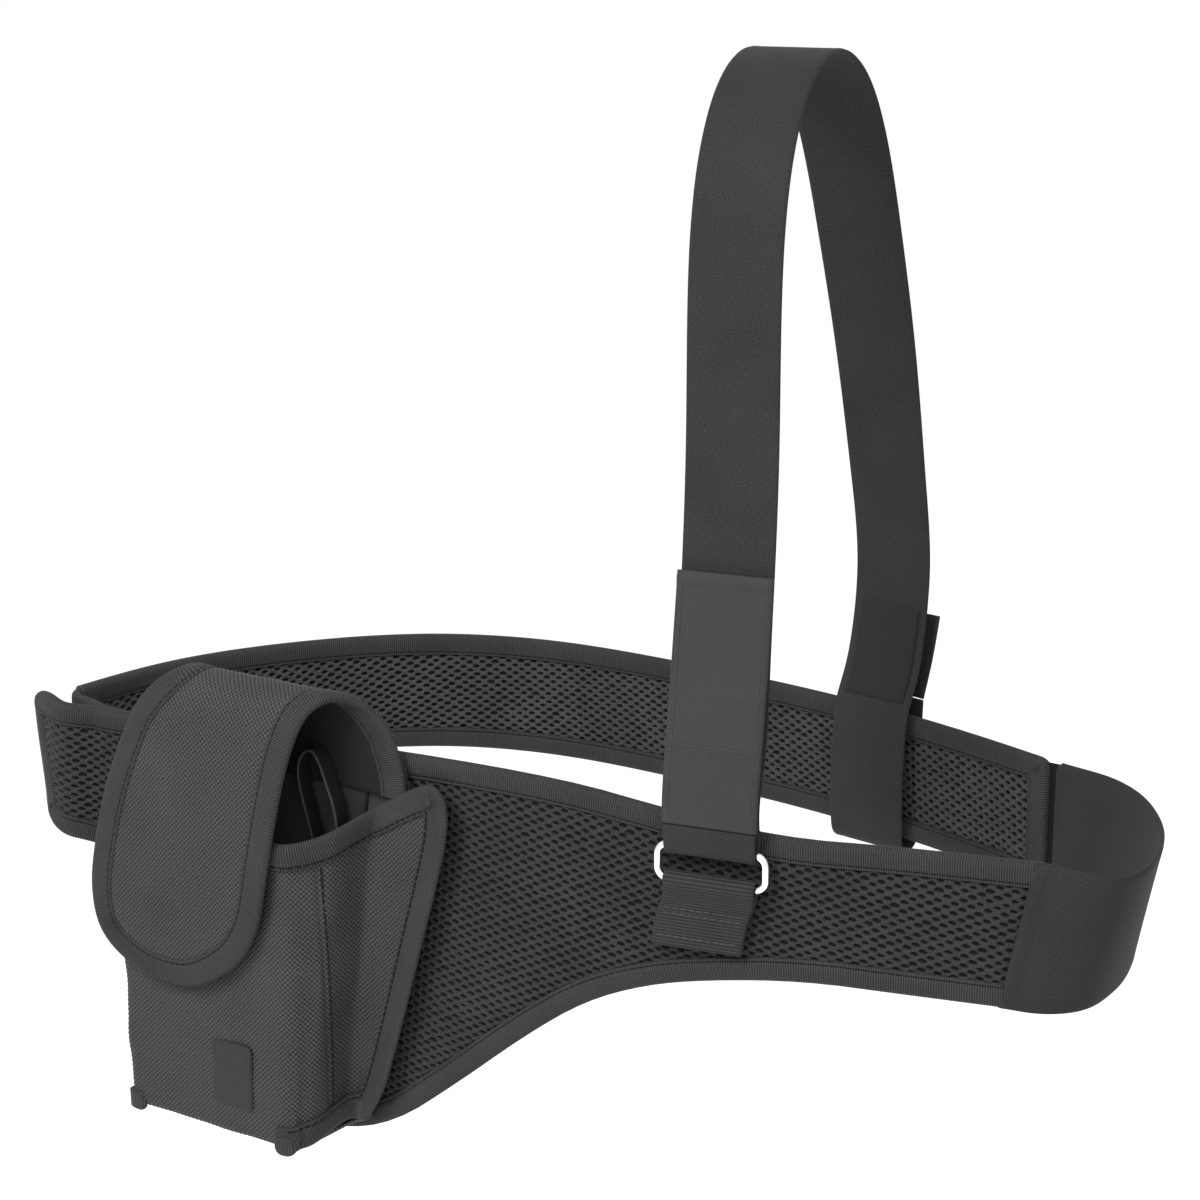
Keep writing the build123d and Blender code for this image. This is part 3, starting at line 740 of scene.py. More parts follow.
def front_belt(rng):
    """The front panel and its closure tail, one pad with one binding that bends at the crease."""
    surface = Bent(Curve(TAIL_PLAN + FRONT_PLAN, room=2), level)
    rim = FRONT_TOP[::-1] + TAIL_END + FRONT_LOWER
    edge = path(soften([(surface.line.find(x), z) for x, z in rim], 2))
    (lower_s, lower_t), (upper_s, upper_t) = edge.rows[-1], edge.rows[0]
    depth = within(closed(edge, [(lower_s + SEAM_GAP, lower_t), (upper_s + SEAM_GAP, upper_t)]))
    box = box_round(edge)
    outer = lattice("front_mesh_face", surface, box, depth, MESH_CLOTH, rng)
    inner = lattice("front_mesh_back", surface, box, depth, MESH_CLOTH, rng, face=-1)
    foam = quilted("front_foam", surface, box, depth)
    tape = binding("front_binding", surface, edge)
    seams = [inset_path(edge, BINDING_SEAM)]
    thread = stitches(
        "front_binding_stitches", surface, seams, BINDING_HALF * 0.68, THREAD_WITH_GROOVE_SHADE, width=STITCH_WIDTH_WITH_GROOVE_SHADE
    )
    put(outer, TAIL, ["front_outer_mesh"])
    put(inner, TAIL, ["front_inner_mesh"])
    put(foam, TAIL, ["front_foam_core", "closure_tail_pad"])
    put(tape, TAIL, ["front_top_binding", "front_bottom_binding", "closure_tail_binding"])
    put(thread, TAIL, [])
    end = Strip([(x, y, -27, 0, 0, 13.5) for x, y in TAIL_PLAN[::-1]])
    hook = band("closure_hook", end, 1.0, 12.5, None, 1.2, PILE, PAD_HALF + 0.1)
    put(hook, "closure_tail", ["closure_hook_patch"])


# ---------------------------------------------------------------- belt, back

def back_belt(rng):
    """The back belt: mesh inside, smooth cloth outside, bound along its edges and its right end."""
    surface = Bent(Curve(BACK_PLAN, room=2), level)
    far = surface.line.length
    foot = -BELT_HEIGHT
    rows = [
        (far, 0), (far / 2, 0), (14, 0), (0.5, 0), (0.5, -14), (0.5, -43), (0.5, foot), (14, foot),
        (far / 2, foot), (far, foot),
    ]
    edge = path(soften(rows))
    depth = within(closed(edge, [(far + 30, foot), (far + 30, 0)]))
    box = box_round(edge)
    cloth = skin(
        "back_face_cloth", surface, box, 2.0, depth, FACE_START,
        lambda s, t: padded_height(depth(s, t)), BACKING_CLOTH,
    )
    # the back belt's mesh takes the lighter copy, painted light against the shade it lies in
    mesh = lattice("back_mesh", surface, box, depth, INNER_MESH_PAINTED_LIGHT, rng, face=-1)
    foam = quilted("back_foam", surface, box, depth)
    tape = binding("back_binding", surface, edge)
    seams = [inset_path(edge, BINDING_SEAM)]
    thread = stitches("back_binding_stitches", surface, seams, BINDING_HALF * 0.68, THREAD_WITH_GROOVE_SHADE)
    inside = stitches("back_binding_inner_stitches", surface, seams, -BINDING_HALF * 0.68, THREAD_WITH_GROOVE_SHADE)
    put(cloth, "root", ["back_outer_cloth"])
    put(mesh, "root", ["back_inner_mesh"])
    put(foam, "root", ["back_foam_core"])
    put(tape, "root", ["back_top_binding", "back_bottom_binding", "back_end_binding"])
    put(thread, "root", [])
    put(inside, "root", [])


def closure_wing():
    """The back belt's left end, turned in behind the front panel, with loop pile outwards."""
    wing = Strip([(x, y, -29, 0, 0, 28) for x, y in WING_PLAN])
    cloth = band("closure_wing", wing, 0.0, wing.line.length, None, 3.0, BACKING_CLOTH)
    put(cloth, "root", ["overlap_wing"])
    surface = Bent(wing.line, level)
    length = wing.line.length
    top, bottom = -1.0, -BELT_HEIGHT
    for name, line in (("top", [(length, top), (0, top)]), ("bottom", [(0, bottom), (length, bottom)])):
        tape = binding(f"wing_{name}_binding", surface, path(line), 8.0, 1.95)
        put(tape, "root", [])
    pile = band("wing_loop", wing, 34.0, length - 1.0, 20.5, 1.2, PILE, 1.9)
    put(pile, "root", ["wing_loop_patch"])


ELASTIC_TOP = [
    (219.6, -100.6, 1.8), (238, -104, 1), (250, -101, 0), (257, -88, 0), (258, -68, 0),
    (255, -46, 0), (247, -22, 0), (235, -1, 0), (220, 13, 0), (206, 19.5, 0), (199, 22.6, 0),
]
ELASTIC_BOTTOM = [
    (207.4, -100.6, -59), (224, -99, -59.5), (236, -92, -59), (242, -80, -58), (245, -65, -57),
    (245, -47, -56), (241, -27, -55), (232, -8, -54), (220, 6, -53), (206.5, 14.5, -52),
    (199.5, 20.6, -53),
]


def elastic_corner():
    """Smooth elastic from the slanted end of the front panel to the back belt's end."""
    rows = []
    for high, low in zip(np.array(ELASTIC_TOP), np.array(ELASTIC_BOTTOM)):
        rows.append((*(high + low) / 2, *(high - low) / 2))
    strip = Strip(rows)
    web = band(
        "elastic_side", strip, 0.0, strip.line.length, None, 2.0, ELASTIC_CLOTH,
        swell=lambda s: 2.0 * np.exp(-((s / 4.5) ** 4)),
    )
    put(web, "root", ["elastic_panel"])
    hem = Strip([
        (204.5, 20, -26.4, 0, 1, 25.9), (201, 21.6, -27, 0, 0.8, 26), (197.5, 23.1, -27.4, 0, 0.5, 26.2),
    ])
    fold = band("elastic_hem_fold", hem, 0.0, hem.line.length, None, 3.8, ELASTIC_CLOTH, step=0.6)
    put(fold, "root", ["elastic_hem"])
    # a thin web sunk between the binding's end and the hem, coloured with the near-black foam as painted
    # shade of the groove there
    inset = Strip([
        (200, 22.6, -27.5, 0, 0.5, 26.5), (195, 25, -28, 0, 0.3, 26.5), (189, 28.4, -28, 0, 0.2, 26),
    ])
    groove_shade_web = band("elastic_hem_shade_web", inset, 0.0, inset.line.length, None, 1.2, FOAM_FILL)
    put(groove_shade_web, "root", [])
    height = 2 * np.mean(strip.half(np.linspace(0, strip.line.length, 60)))


# ---------------------------------------------------------------- pouch

RIGHT_RIM = [
    (0, -27), (30, -27), (54, -26.5), (65, -21.5), (72, -16), (84, -8.2), (92, -3.8), (100, -0.5),
    (104, 0.3),
]
LEFT_RIM = [(5, -7), (8, -9), (15, -16), (24, -25), (33, -27)]
GUSSET_OUTER = [
    (-22, -4), (-20.7, -12), (-22.2, -26), (-28.2, -49), (-34.5, -72), (-41.5, -98), (-47.5, -119),
    (-53.5, -139), (-59.5, -149), (-64, -157),
]
SHELL_START = -110.0
SHELL_END = 175.0
SHELL_STEP = 0.5
LEVEL_STEP = 2.0
STANDING_EDGE = 11.6


def belt_place(x, off):
    """A point at a distance outwards from the front belt's middle, as (a, n) in the pouch's frame."""
    plan = Curve(FRONT_PLAN, room=2)
    s = plan.find(x)
    along = unit(plan.slope(s))
    px, py = plan.at(s) + off * np.stack([along[..., 1], -along[..., 0]], -1)
    px, py = px - POUCH_X, py - POUCH_Y
    return (
        px * math.cos(POUCH_TURN) + py * math.sin(POUCH_TURN),
        px * math.sin(POUCH_TURN) - py * math.cos(POUCH_TURN),
    )


def pouch_section(z):
    """The pouch's wall at a height, from its left edge on the belt round to its standing right edge."""
    up = np.clip((z - POUCH_FLOOR) / -POUCH_FLOOR, 0, 1)
    half = 44.5 + 4.5 * up
    x = np.interp(-z, [-height for _, height in GUSSET_OUTER], [x for x, _ in GUSSET_OUTER])
    end_a, end_n = belt_place(x, STANDING_EDGE)
    ridge = (half + 6 + 11 * up, 27 - 7 * up)
    valley = half + 9.5 + 15.5 * up
    return [
        (-half - 0.4, 5.5), (-half, 15), (-half, 26), (-half + 2, 32.5), (-half + 11, 33), (0, 33),
        (half - 10, 33), (half - 3, 33), (half + 0.5, 32.4), (half + 4, 30.8 - 0.6 * up),
        (ridge[0] - 2.5, ridge[1] + 1.8), (ridge[0] + 2, ridge[1] - 2.5), (valley - 1, 6.5),
        (valley + 1.5, 3.0), (valley + 5 + 5 * up, 2.2), (end_a, end_n),
    ]


class Shell:
    """The pouch's wall: c round it from the middle of its front, z up, d out."""

    def __init__(self, section, low, high):
        self.low = low
        self.c = np.arange(SHELL_START, SHELL_END, SHELL_STEP)
        rows, ends = [], []
        for z in np.arange(low, high, LEVEL_STEP):
            line = path(soften(section(z), 3))
            middle = line.find(0.0)
            rows.append(line.at(self.c + middle))
            ends.append((-middle, line.length - middle))
        self.table = np.array(rows)
        self.ends = np.array(ends)
        self.levels = low + LEVEL_STEP * np.arange(len(rows))
        self.slopes = unit(np.gradient(self.table, axis=1) + 1e-12)

    def mixed(self, table, c, z):
        i = np.clip((z - self.low) / LEVEL_STEP, 0, len(table) - 1.001)
        j = np.clip((c - SHELL_START) / SHELL_STEP, 0, table.shape[1] - 1.001)
        i0, j0 = i.astype(int), j.astype(int)
        u, v = (i - i0)[..., None], (j - j0)[..., None]
        lower = table[i0, j0] * (1 - v) + table[i0, j0 + 1] * v
        upper = table[i0 + 1, j0] * (1 - v) + table[i0 + 1, j0 + 1] * v
        return lower * (1 - u) + upper * u

    def at(self, c, z, d):
        c, z, d = np.broadcast_arrays(np.asarray(c, float), z, d)
        place = self.mixed(self.table, c, z)
        slope = unit(self.mixed(self.slopes, c, z))
        return pouch(place[..., 0] - d * slope[..., 1], place[..., 1] + d * slope[..., 0], z)

    def end(self, z, side=1):
        return np.interp(z, self.levels, self.ends[:, side])

    def find(self, value, z, column=0, left=False):
        """The length round the wall, at a height, where a (or n, on the left side) has a value."""
        row = self.table[int(round((z - self.low) / LEVEL_STEP))]
        keep = self.c < 0 if left else self.c >= 0
        return np.interp(value, row[keep, column], self.c[keep])


def bottom_round(c, z):
    """How far the wall draws in where it turns under to the floor, all but at the bound right edge."""
    low = np.clip((-161.5 - z) / 5.0, 0, 1)
    return -5.0 * (1 - np.sqrt(1 - low * low * 0.98)) * (1 - smoothstep(c, 42, 47))


def foot_rise(share):
    """How far the floor's edge rises towards its right rear corner."""
    return 10.5 * np.clip(share, 0, 1)


def puckers(s, t):
    """Slow unevenness of loose cloth: a few waves, each with two rates, a phase and a size."""
    waves = [
        (0.041, 0.013, 0.3, 0.45), (-0.019, 0.052, 1.9, 0.35), (0.083, -0.037, 4.0, 0.18),
        (0.03, 0.11, 2.2, 0.14),
    ]
    return sum(size * np.sin(math.pi * (u * s + v * t) + phase) for u, v, phase, size in waves)


def side_seam(z):
    """How far round the wall the seam beside its front runs at a height."""
    up = z - POUCH_FLOOR
    return 67.5 + 4.5 * up / -POUCH_FLOOR - up / 14


def loose(c, z):
    """How the wall's cloth lies: slack below the mouth, pulled in at its side seam and at the floor."""
    slack = puckers(c, z) * smoothstep(-z, 30, 60) * 0.8
    return slack - 0.7 * np.exp(-(((c - side_seam(z)) / 1.3) ** 2)) + bottom_round(c, z)


def pouch_shell():
    """The woven wall with its lining, and one tape along its bottom edge, standing edge and mouth."""
    shell = Shell(pouch_section, -168.0, 8.0)
    right_rim = [(shell.find(a, z), z) for a, z in Curve(RIGHT_RIM, room=2, count=40).rows[::-1]]
    left_rim = [(shell.find(n, z, 1, True), z) for n, z in LEFT_RIM[::-1]]
    foot = shell.end(-152.0)
    bottom = [(c, -166.2 + foot_rise((c - 48) / (foot - 48))) for c in np.linspace(41, foot - 4, 8)]
    standing = [(shell.end(z), z) for _, z in GUSSET_OUTER[-3::-1]]
    rim = bottom + [(foot - 0.5, -155.4)] + standing + right_rim + left_rim
    edge = path(soften(rim, 3))
    depth = within(closed(edge, [(-100.0, -7), (-100.0, POUCH_FLOOR), (41, POUCH_FLOOR)]))
    box = ((float(shell.end(-100, 0)) + 0.2, 172.0), (POUCH_FLOOR + 0.1, 2.0))
    wall = skin(
        "pouch_weave", shell, box, WEAVE_PITCH / 2, depth, 2.2,
        lambda c, z: weave(c, z) + 0.1 + loose(c, z), BALLISTIC,
    )
    # the lining's light colour is painted light against the shade deep in the pouch
    lining = skin(
        "pouch_lining", shell, box, 2.0, depth, 3.0, lambda c, z: loose(c, z) - 0.3, POUCH_LINING_PAINTED_LIGHT,
        back=lambda c, z: loose(c, z) - 1.2,
    )
    tape = binding("pouch_binding", shell, edge, POUCH_TAPE, POUCH_TAPE_HALF)
    seam = path([(side_seam(z) + 1.6, z) for z in np.arange(-160.0, -36.0, 2.0)])
    thread = stitches("pouch_stitches", shell, [seam], 0.45, THREAD_WITH_GROOVE_SHADE)
    rim_seam = inset_path(edge, POUCH_TAPE - 1.4, 6.0)
    rim_thread = stitches("pouch_binding_stitches", shell, [rim_seam], 1.35, THREAD_WITH_GROOVE_SHADE, width=STITCH_WIDTH_WITH_GROOVE_SHADE)
    put(wall, "root", ["pouch_front_shell"])
    put(lining, "root", [])
    put(tape, "root", ["mouth_binding", "right_gusset_binding", "pouch_bottom_binding"])
    put(thread, "root", [])
    put(rim_thread, "root", [])
    return shell


def pouch_floor(shell):
    """The woven floor, from the wall's turned-in lower edge to the belt."""
    row = shell.table[1]
    a = np.linspace(-44.0, 66.0, 56)
    front = np.interp(a, row[:, 0], row[:, 1]) - np.interp(a, [42, 47], [4.3, 0.4])
    behind = np.array([belt_place(x, BINDING_HALF + 0.4) for x in np.linspace(-182.0, -58.0, 63)])
    back = np.interp(a, behind[:, 0], behind[:, 1])
    share = np.linspace(0, 1, 12)
    n = front[:, None] * (1 - share) + np.minimum(back, front - 0.5)[:, None] * share
    a = np.broadcast_to(a[:, None], n.shape)
    z = foot_rise((a - 46.5) / 20.0) - 0.8 * np.sin(math.pi * share)[None, :] + POUCH_FLOOR
    top, bottom = pouch(a, n, z + 1.8), pouch(a, n, z + 0.5)
    floor = sandwich("pouch_floor", top, bottom, np.stack([a, n], -1), BALLISTIC)
    put(floor, "root", ["pouch_bottom"])


def pouch_back(surface):
    """The pouch's lined back wall, which curves out at the right to the standing edge."""
    def on_belt(points):
        return path([(surface.line.find(x), z) for x, z in points])

    top, foot = 9.2, -166.0
    outline = on_belt([
        (-178, top), (-46.5, top), (-43, -6), (-38, -11), (-28, -14), (-60, -140), (-93, -164),
        (-176, foot), (-178, top),
    ])
    right = on_belt([(-26, 20), (-26, -14), (-59, -140), (-75, -168)])

    def lift(s, z):
        gap = np.interp(-z, -right.rows[:, 1], right.rows[:, 0]) - s
        return 3.9 + 7.0 * np.exp(-np.clip(gap, 0, 60) / 5.0) * smoothstep(-z, -2, 12)

    box = ((outline.rows[0, 0], outline.rows[4, 0] + 6), (foot, top))
    # the back wall takes the lightened lining, painted light against the shade inside the pouch
    wall = skin(
        "pouch_back_cloth", surface, box, 1.5, within(outline), 0.0, lift, POUCH_LINING_PAINTED_LIGHT,
        back=lambda s, z: lift(s, z) - 0.8,
    )
    put(wall, "root", ["pouch_back_wall", "pouch_back_lining"])
    seam = on_belt([(-108, -4), (-90, -4), (-72, -4)])
    thread = stitches("pouch_back_stitches", surface, [seam], 4.1, THREAD_WITH_GROOVE_SHADE)
    put(thread, "root", [])
    left = on_belt([(-184.5, -5), (-181, -80), (-180.5, -164)])
    tape = binding("pouch_left_binding", surface, left, 7.0, POUCH_TAPE_HALF, rise=4.9)
    put(tape, "root", ["left_gusset_binding"])


def pouch_fittings(shell, surface):
    """Loop patch under the flap, plain label, turned-under corners and the patch inside the mouth."""
    loop = patch(
        "pouch_loop", lambda u, v, d: pouch(PATCH_A + u, 33.05 + d, PATCH_Z + v), 50, 40, 1.1, 3, PILE
    )
    put(loop, "root", ["pouch_loop_patch"])
    label = patch(
        "pouch_label", lambda u, v, d: shell.at(17 + u, -137.5 + v, d + 0.2), 22, 30, 1.0, 2.5, LABEL_CLOTH
    )
    put(label, "root", ["label_patch"])
    for index, corner in enumerate((-40.0, 44.5)):
        tab = patch(
            f"corner_tab_{index + 1}",
            lambda u, v, d, corner=corner: shell.at(corner + u, -163.2 + v, d - 0.2),
            13 - 3 * index, 9.5, 2.2, 4.5, TAPE_CLOTH,
        )
        put(tab, "root", ["pouch_corner_tabs"])
    middle = surface.line.find(-70.5)
    fuzz = patch(
        "side_closure", lambda u, v, d: surface.at(middle + u + v * 0.15, -15 + v, 4.6 + d),
        14, 22, 1.3, 2, PILE,
    )
    put(fuzz, "root", ["side_closure_patch"])


LEASH = [
    (47, -31.5), (43, -18), (40, -4), (42, 4), (47, 7), (51, 3), (54, -4), (58, -14), (60, -24),
    (60.5, -31.5),
]


def leash():
    """A narrow tape loop for the transceiver's own lanyard, on an anchor inside the pouch."""
    half = pouch_direction(0, LEASH_HALF)
    strip = Strip([(*pouch(a, LEASH_OUT, z), *half) for a, z in LEASH])
    loop = band("leash_tape", strip, 0.0, strip.line.length, None, 0.9, LEASH_CLOTH, step=0.8)
    put(loop, "leash", ["leash_loop"])
    anchor = patch(
        "leash_anchor_tape", lambda u, v, d: pouch(53.5 + u, LEASH_OUT - 4 + d, -36.5 + v),
        18, 7, 8.0, 1.2, LEASH_CLOTH,
    )
    put(anchor, "root", ["leash_anchor"])


# ---------------------------------------------------------------- flap

FLAP_LINE = [
    (1.6, -9), (2.2, 2), (2.7, 10.9), (3.4, 20), (7.4, 29.5), (16.5, 34), (25.5, 30), (30.5, 19),
    (33.5, 4), (36.4, -20), (37.8, -48), (38.2, -64), (38.2, -80), (38.2, -90), (38.2, -97.5),
    (38.2, -100.3),
]
FLAP_LEFT = [-15, -14.5, -14, -15, -16.5, -14, -22.5, -32, -38, -46.4, -53, -55.2, -53.3, -46, -32, -20]
FLAP_RIGHT = [88.6, 88.2, 85.5, 82.5, 74, 66, 59.5, 54.7, 51, 47, 41.8, 39, 30.2, 19, 6, -4]
FLAP_HALF = 2.2
FLAP_TAPE = 12.0
FLAP_START = 6.0


def flap():
    """The flap: woven outside, a lining inside darkened as painted shade, bound all round, arching from
    the back wall.
    """
    line = Curve(FLAP_LINE, room=2)
    surface = Bent(line, lambda n, z, a: pouch(a, n, z), out=-1)
    stations = [line.near(point) for point in FLAP_LINE]
    rows = list(zip(stations, FLAP_LEFT)) + list(zip(stations, FLAP_RIGHT))[::-1]
    edge = path(soften(rows, 3))
    depth = within(closed(edge, [(-30, 88), (-30, -15)]))
    box = box_round(edge)

    def face(s, a):
        inside = np.clip(depth(s, a) - FLAP_TAPE + 1.0, 0, 40)
        return 1.75 - 0.95 * np.exp(-inside / 1.6)

    shell = skin(
        "flap_weave", surface, box, WEAVE_PITCH / 2, depth, FLAP_START,
        lambda s, a: weave(s, a) + face(s, a), BALLISTIC,
    )
    core = skin(
        "flap_foam_sheet", surface, box, 2.0, depth, FLAP_START, lambda s, a: face(s, a) - 0.5, FOAM_FILL,
        back=lambda s, a: 0 * s - 1.0,
    )
    # the lining's dark colour is painted shade inside the arch
    lining = skin(
        "flap_lining_cloth", surface, box, 2.0, depth, FLAP_START, lambda s, a: 0 * s - 1.1, LINING_PAINTED_SHADE,
        back=lambda s, a: 0 * s - 1.6,
    )
    tape = binding("flap_tape", surface, edge, FLAP_TAPE, FLAP_HALF)
    seam = inset_path(edge, FLAP_TAPE * 0.85)
    thread = stitches("flap_stitches", surface, [seam], FLAP_HALF * 0.68, THREAD_WITH_GROOVE_SHADE, width=STITCH_WIDTH_WITH_GROOVE_SHADE)
    inner_thread = stitches("flap_inner_stitches", surface, [seam], -FLAP_HALF * 0.68, THREAD_WITH_GROOVE_SHADE)
    hook = patch(
        "flap_hook", lambda u, v, d: pouch(PATCH_A + u, 35.9 - d, PATCH_Z + v), 46, 36, 1.1, 3, PILE
    )
    root = ("flap", pouch(35, 1.5, 10.0), pouch(35, 6.5, 11.0))
    put(shell, root, ["flap_shell"])
    put(core, root, ["flap_foam"])
    put(lining, root, ["flap_lining"])
    put(tape, root, ["flap_binding"])
    put(thread, root, [])
    put(inner_thread, root, [])
    put(hook, "flap", ["flap_hook_patch"])


# ---------------------------------------------------------------- straps

FOLD_RADIUS = RING_WIRE / 2 + 0.3 + WEBBING / 2
PILE_SHIFT = WEBBING / 2 + 0.45
STRAP_UP = [
    (92.6, -107.0, 8, 0), (92.5, -101.5, 26, 0), (92.4, -96.5, 60, 0), (92, -91.7, 99, 0),
    (90.5, -84.5, 146, 0), (88.6, -79, 200, 0), (88.4, -69.5, 250, 0), (88.2, -50, 277, 0),
    (88, -10, 290.5, 0),
]
STRAP_DOWN = [
    (89, 20, 280, 0), (90.5, 45, 252, -1), (92.3, 64, 212, -3), (95, 84, 156, -7), (100, 92, 97, -13),
    (104.5, 88, 60, -16), (105.3, 83.9, 45, -17), (106, 76, 28, -17), (106, 66.5, 14, -17),
    (105, 59.5, 3, -17), (104.5, 57.2, -10, -17), (104.5, 57, -53, -17), (104.8, 58.4, -58.6, -18),
    (106, 65.5, -61.6, -19.5), (107.4, 72.5, -59.2, -21), (108, 74.5, -54, -21.5), (108, 74.8, -20, -21.5),
    (108, 75.4, 5.4, -21.5),
]
REAR_TAB = [(108, 75.6, 6, -21.5), (109, 82, 20, -20), (109.6, 90, 40, -18)]
TONGUE = [
    (92.6, -111.4, 1, 0), (92.6, -110.9, 12, 0), (92.8, -108, 32, 0), (92.8, -102.5, 62, 0),
    (92.6, -95.8, 98.5, 0),
]


def webbing(points, half=STRAP_HALF):
    """Rows for a strip whose width lies level, each turned about the vertical."""
    rows = []
    for x, y, z, turn in points:
        angle = math.radians(turn)
        rows.append((x, y, z, half * math.cos(angle), half * math.sin(angle), 0))
    return rows


def round_bar(z, x, first, last):
    """Stations round a bar of the ring; angles are from straight out, turning upwards."""
    angles = np.radians(np.linspace(first, last, 10))
    return [(x, RING_Y - FOLD_RADIUS * math.cos(a), z + FOLD_RADIUS * math.sin(a), 0) for a in angles]


def seam_box(start, end, half, crossings):
    """Paths of a sewn box: its two long sides and a row across at each crossing."""
    sides = [path([(start, side * half), (end, side * half)]) for side in (-1, 1)]
    return sides + [path([(s, -half), (s, half)]) for s in crossings]


def pile_patch(name, strip, start, end, shift, body, replaced):
    """Hook or loop pile sewn to webbing, on the side that shift says."""
    pile = band(name, strip, start, end, PILE_HALF, PILE_THICK, PILE, shift)
    put(pile, body, [replaced])


def shoulder_strap():
    """One strap from the ring's tongue, over the shoulder, round the back belt and up to its free end."""
    top_bar = RING_Z + BAR_RISE
    stations = [(RING_X, -111.2, 0.4, 0)] + round_bar(top_bar, RING_X, 0, -180) + STRAP_UP + STRAP_DOWN
    strip = Strip(webbing(stations))
    crest = strip.line.near((88, -10, 290.5))
    front = band("strap_front", strip, 0.0, crest, STRAP_HALF, WEBBING, STRAP_CLOTH)
    rear = band("strap_rear", strip, crest, strip.line.length, STRAP_HALF, WEBBING, STRAP_CLOTH)
    put(front, ("ring", (88, -25, 280), (92, -91.7, 99)), ["strap_lower_run", "strap_front_run"])
    put(rear, ("rear_slider", (90.5, 45, 252), (105, 86, 42)), ["rear_loop", "strap_rear_run"])
    low = strip.line.near((105, 59.5, 3))
    high = strip.line.near((105.3, 83.9, 45))
    paths = seam_box(high, low, 16.6, (high, low, high + 3, low - 3))
    thread = stitches("rear_loop_stitches", strip, paths, -WEBBING / 2, THREAD_WITH_GROOVE_SHADE)
    put(thread, "rear_slider", [])
    pile_patch("rear_loop_pile", strip, high + 2, low - 4, PILE_SHIFT, "rear_slider", "rear_loop_patch")
    foot, top = strip.line.near((92.4, -96.5, 60)), strip.line.near((92, -91.7, 99))
    pile_patch("strap_pile", strip, foot, top, -PILE_SHIFT, "ring", "strap_loop_patch")


def tongue():
    """The gripping tongue: webbing folded back on itself at the top and sewn round."""
    strip = Strip(webbing(TONGUE, TONGUE_HALF))
    length = strip.line.length

    def folds(s, t):
        lip = 0.5 * np.exp(-(((s - length + 3.2) / 2.0) ** 2))
        steps = 0.3 * np.exp(-(((s - 33) / 1.6) ** 2)) + 0.2 * np.exp(-(((s - 52) / 1.4) ** 2))
        return -(lip + steps)

    web = band(
        "tongue_web", strip, 0.0, length, TONGUE_HALF, TONGUE_THICK, TONGUE_CLOTH, step=0.7, crown=folds
    )
    put(web, "tongue", ["strap_tongue"])
    paths = seam_box(4, length - 5, 17, (28, 31.5, length - 6))
    thread = stitches("tongue_stitches", strip, paths, -1.25, PALE_THREAD, width=0.5, tall=0.25)
    put(thread, "tongue", [])
    middle = strip.line.near((92.8, -102.5, 62))
    pile_patch("tongue_hook", strip, middle, length - 1, 1.55, "tongue", "tongue_hook_patch")


def keeper():
    """Coarse webbing folded over the ring's lower bar and sewn flat to the belt."""
    bar = RING_Z - BAR_RISE
    front = [(86, -107, -52, 0), (88, -107.2, -40, 0), (91.5, -109, bar - 6, 0)]
    back = [(91.5, -105.6, bar - 6, 0), (88, -105.2, -40, 0), (86, -105.2, -52, 0)]
    strip = Strip(webbing(front + round_bar(bar, 92.2, 0, 180) + back))
    web = band("keeper_web", strip, 0.0, strip.line.length, STRAP_HALF, WEBBING, KEEPER_CLOTH, step=0.7)
    put(web, "root", ["keeper_tab"])
    paths = [path([(s, -16.5), (s, 16.5)]) for s in (4.5, 14.5, 17)]
    thread = stitches("keeper_stitches", strip, paths, -WEBBING / 2, PALE_THREAD)
    put(thread, "root", [])


def rear_tab():
    """The rear loop's free end, with hook pile on its inner side."""
    strip = Strip(webbing(REAR_TAB))
    web = band("rear_tab_web", strip, 0.0, strip.line.length, STRAP_HALF, WEBBING, STRAP_CLOTH)
    put(web, "rear_end", ["rear_tab"])
    end = strip.line.length - 1
    pile_patch("rear_tab_hook", strip, 14.0, end, -PILE_SHIFT, "rear_end", "rear_tab_hook_patch")


# ---------------------------------------------------------------- camera, light and floor

def camera():
    data = bpy.data.cameras.new("camera")
    data.lens = 83.4
    data.sensor_width = 36.0
    holder = bpy.data.objects.new("camera", data)
    holder.location = (0.4453, -1.0636, 0.364)
    holder.rotation_euler = (math.radians(75), 0, math.radians(22.7))
    bpy.context.scene.collection.objects.link(holder)
    bpy.context.scene.camera = holder


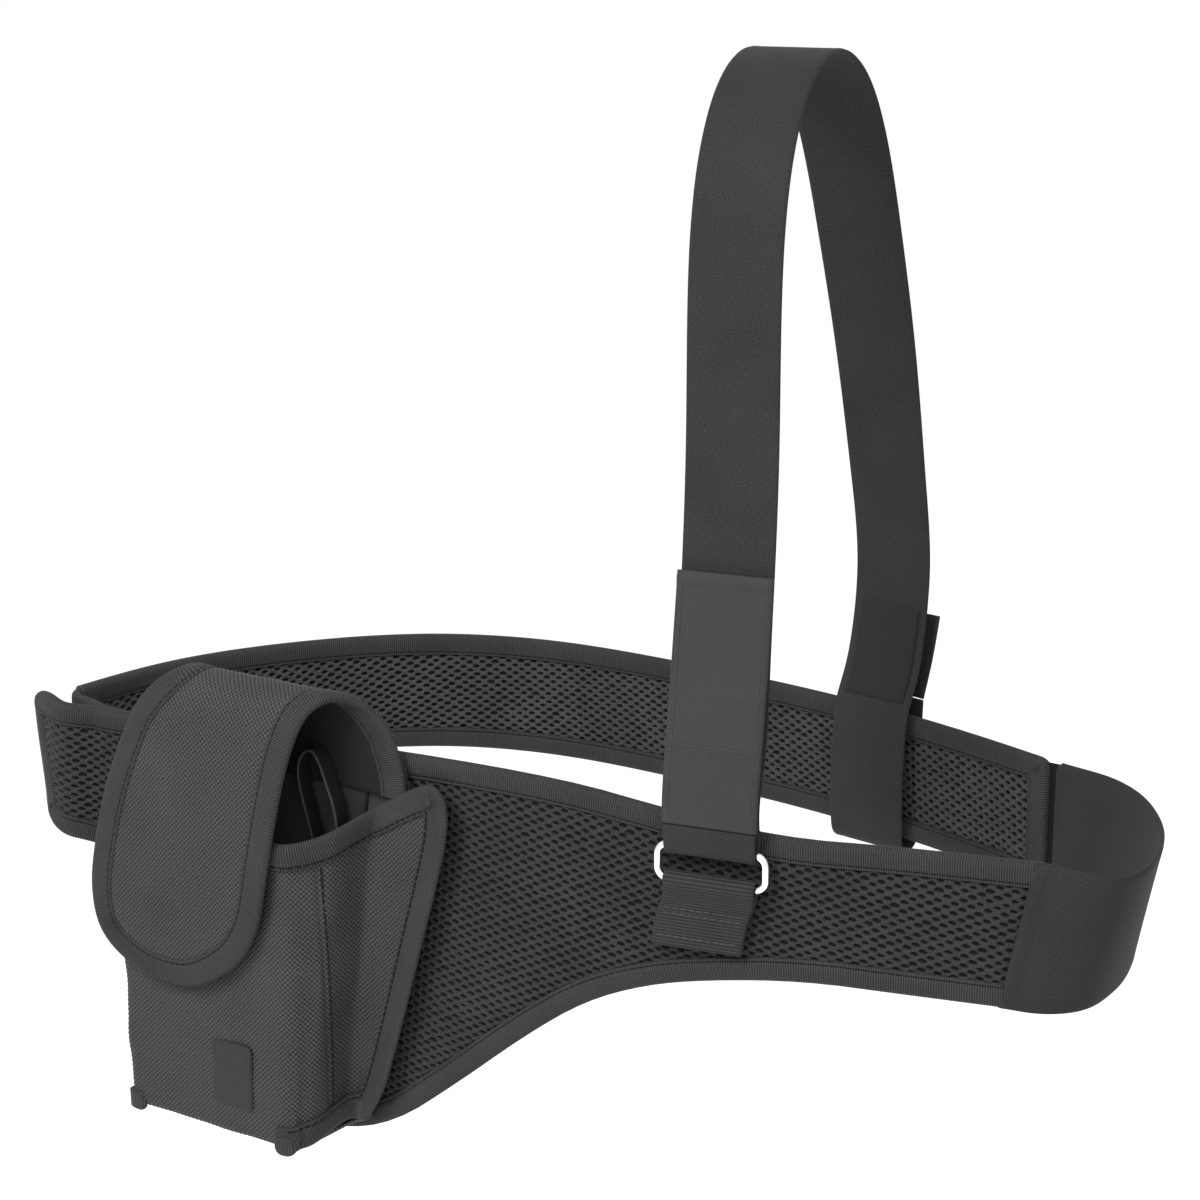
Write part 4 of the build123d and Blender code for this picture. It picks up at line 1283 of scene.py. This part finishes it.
def lamp(name, place, target, size, power):
    data = bpy.data.lights.new(name, "AREA")
    data.size = size
    data.energy = power
    holder = bpy.data.objects.new(name, data)
    holder.location = place
    holder.rotation_euler = (Vector(target) - Vector(place)).to_track_quat("-Z", "Y").to_euler()
    bpy.context.scene.collection.objects.link(holder)


def studio():
    """White surroundings, one large soft light from the front left and above, and a weak fill."""
    world = bpy.data.worlds.new("studio")
    world.use_nodes = True
    world.node_tree.nodes["Background"].inputs["Color"].default_value = (1, 1, 1, 1)
    world.node_tree.nodes["Background"].inputs["Strength"].default_value = 1.0
    bpy.context.scene.world = world
    bpy.context.scene.view_settings.view_transform = "Standard"
    lamp("key", (-0.55, -1.6, 1.45), (0, 0, 0.0), 0.9, 58)
    lamp("fill", (0.6, -1.5, 1.0), (0.05, 0, 0), 0.9, 12)
    floor = studio_floor()


def studio_floor():
    """A plain pale floor, in metres."""
    mesh = bpy.data.meshes.new("floor")
    corners = [(x, y, 0) for x, y in ((-3, -3), (3, -3), (3, 3), (-3, 3))]
    mesh.from_pydata(corners, [], [(0, 1, 2, 3)])
    paint = bpy.data.materials.new("floor")
    paint.use_nodes = True
    shader = paint.node_tree.nodes["Principled BSDF"]
    shader.inputs["Base Color"].default_value = (0.95, 0.95, 0.95, 1)
    shader.inputs["Roughness"].default_value = 0.9
    mesh.materials.append(paint)
    floor = bpy.data.objects.new("floor", mesh)
    floor.location = (0, 0, -0.6)
    bpy.context.scene.collection.objects.link(floor)
    return floor


def main():
    rng = np.random.default_rng(SEED)
    camera()
    front_belt(rng)
    back_belt(rng)
    closure_wing()
    elastic_corner()
    belt = Bent(Curve(FRONT_PLAN, room=2), level)
    shell = pouch_shell()
    pouch_floor(shell)
    pouch_back(belt)
    pouch_fittings(shell, belt)
    leash()
    flap()
    shoulder_strap()
    tongue()
    keeper()
    rear_tab()
    ring = cad_node("adjuster_ring")
    ring.data.materials.clear()
    ring.data.materials.append(CHROME)
    studio()


def cad_node(name):
    return next(o for o in bpy.context.scene.objects if o.get("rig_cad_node") == name)


main()
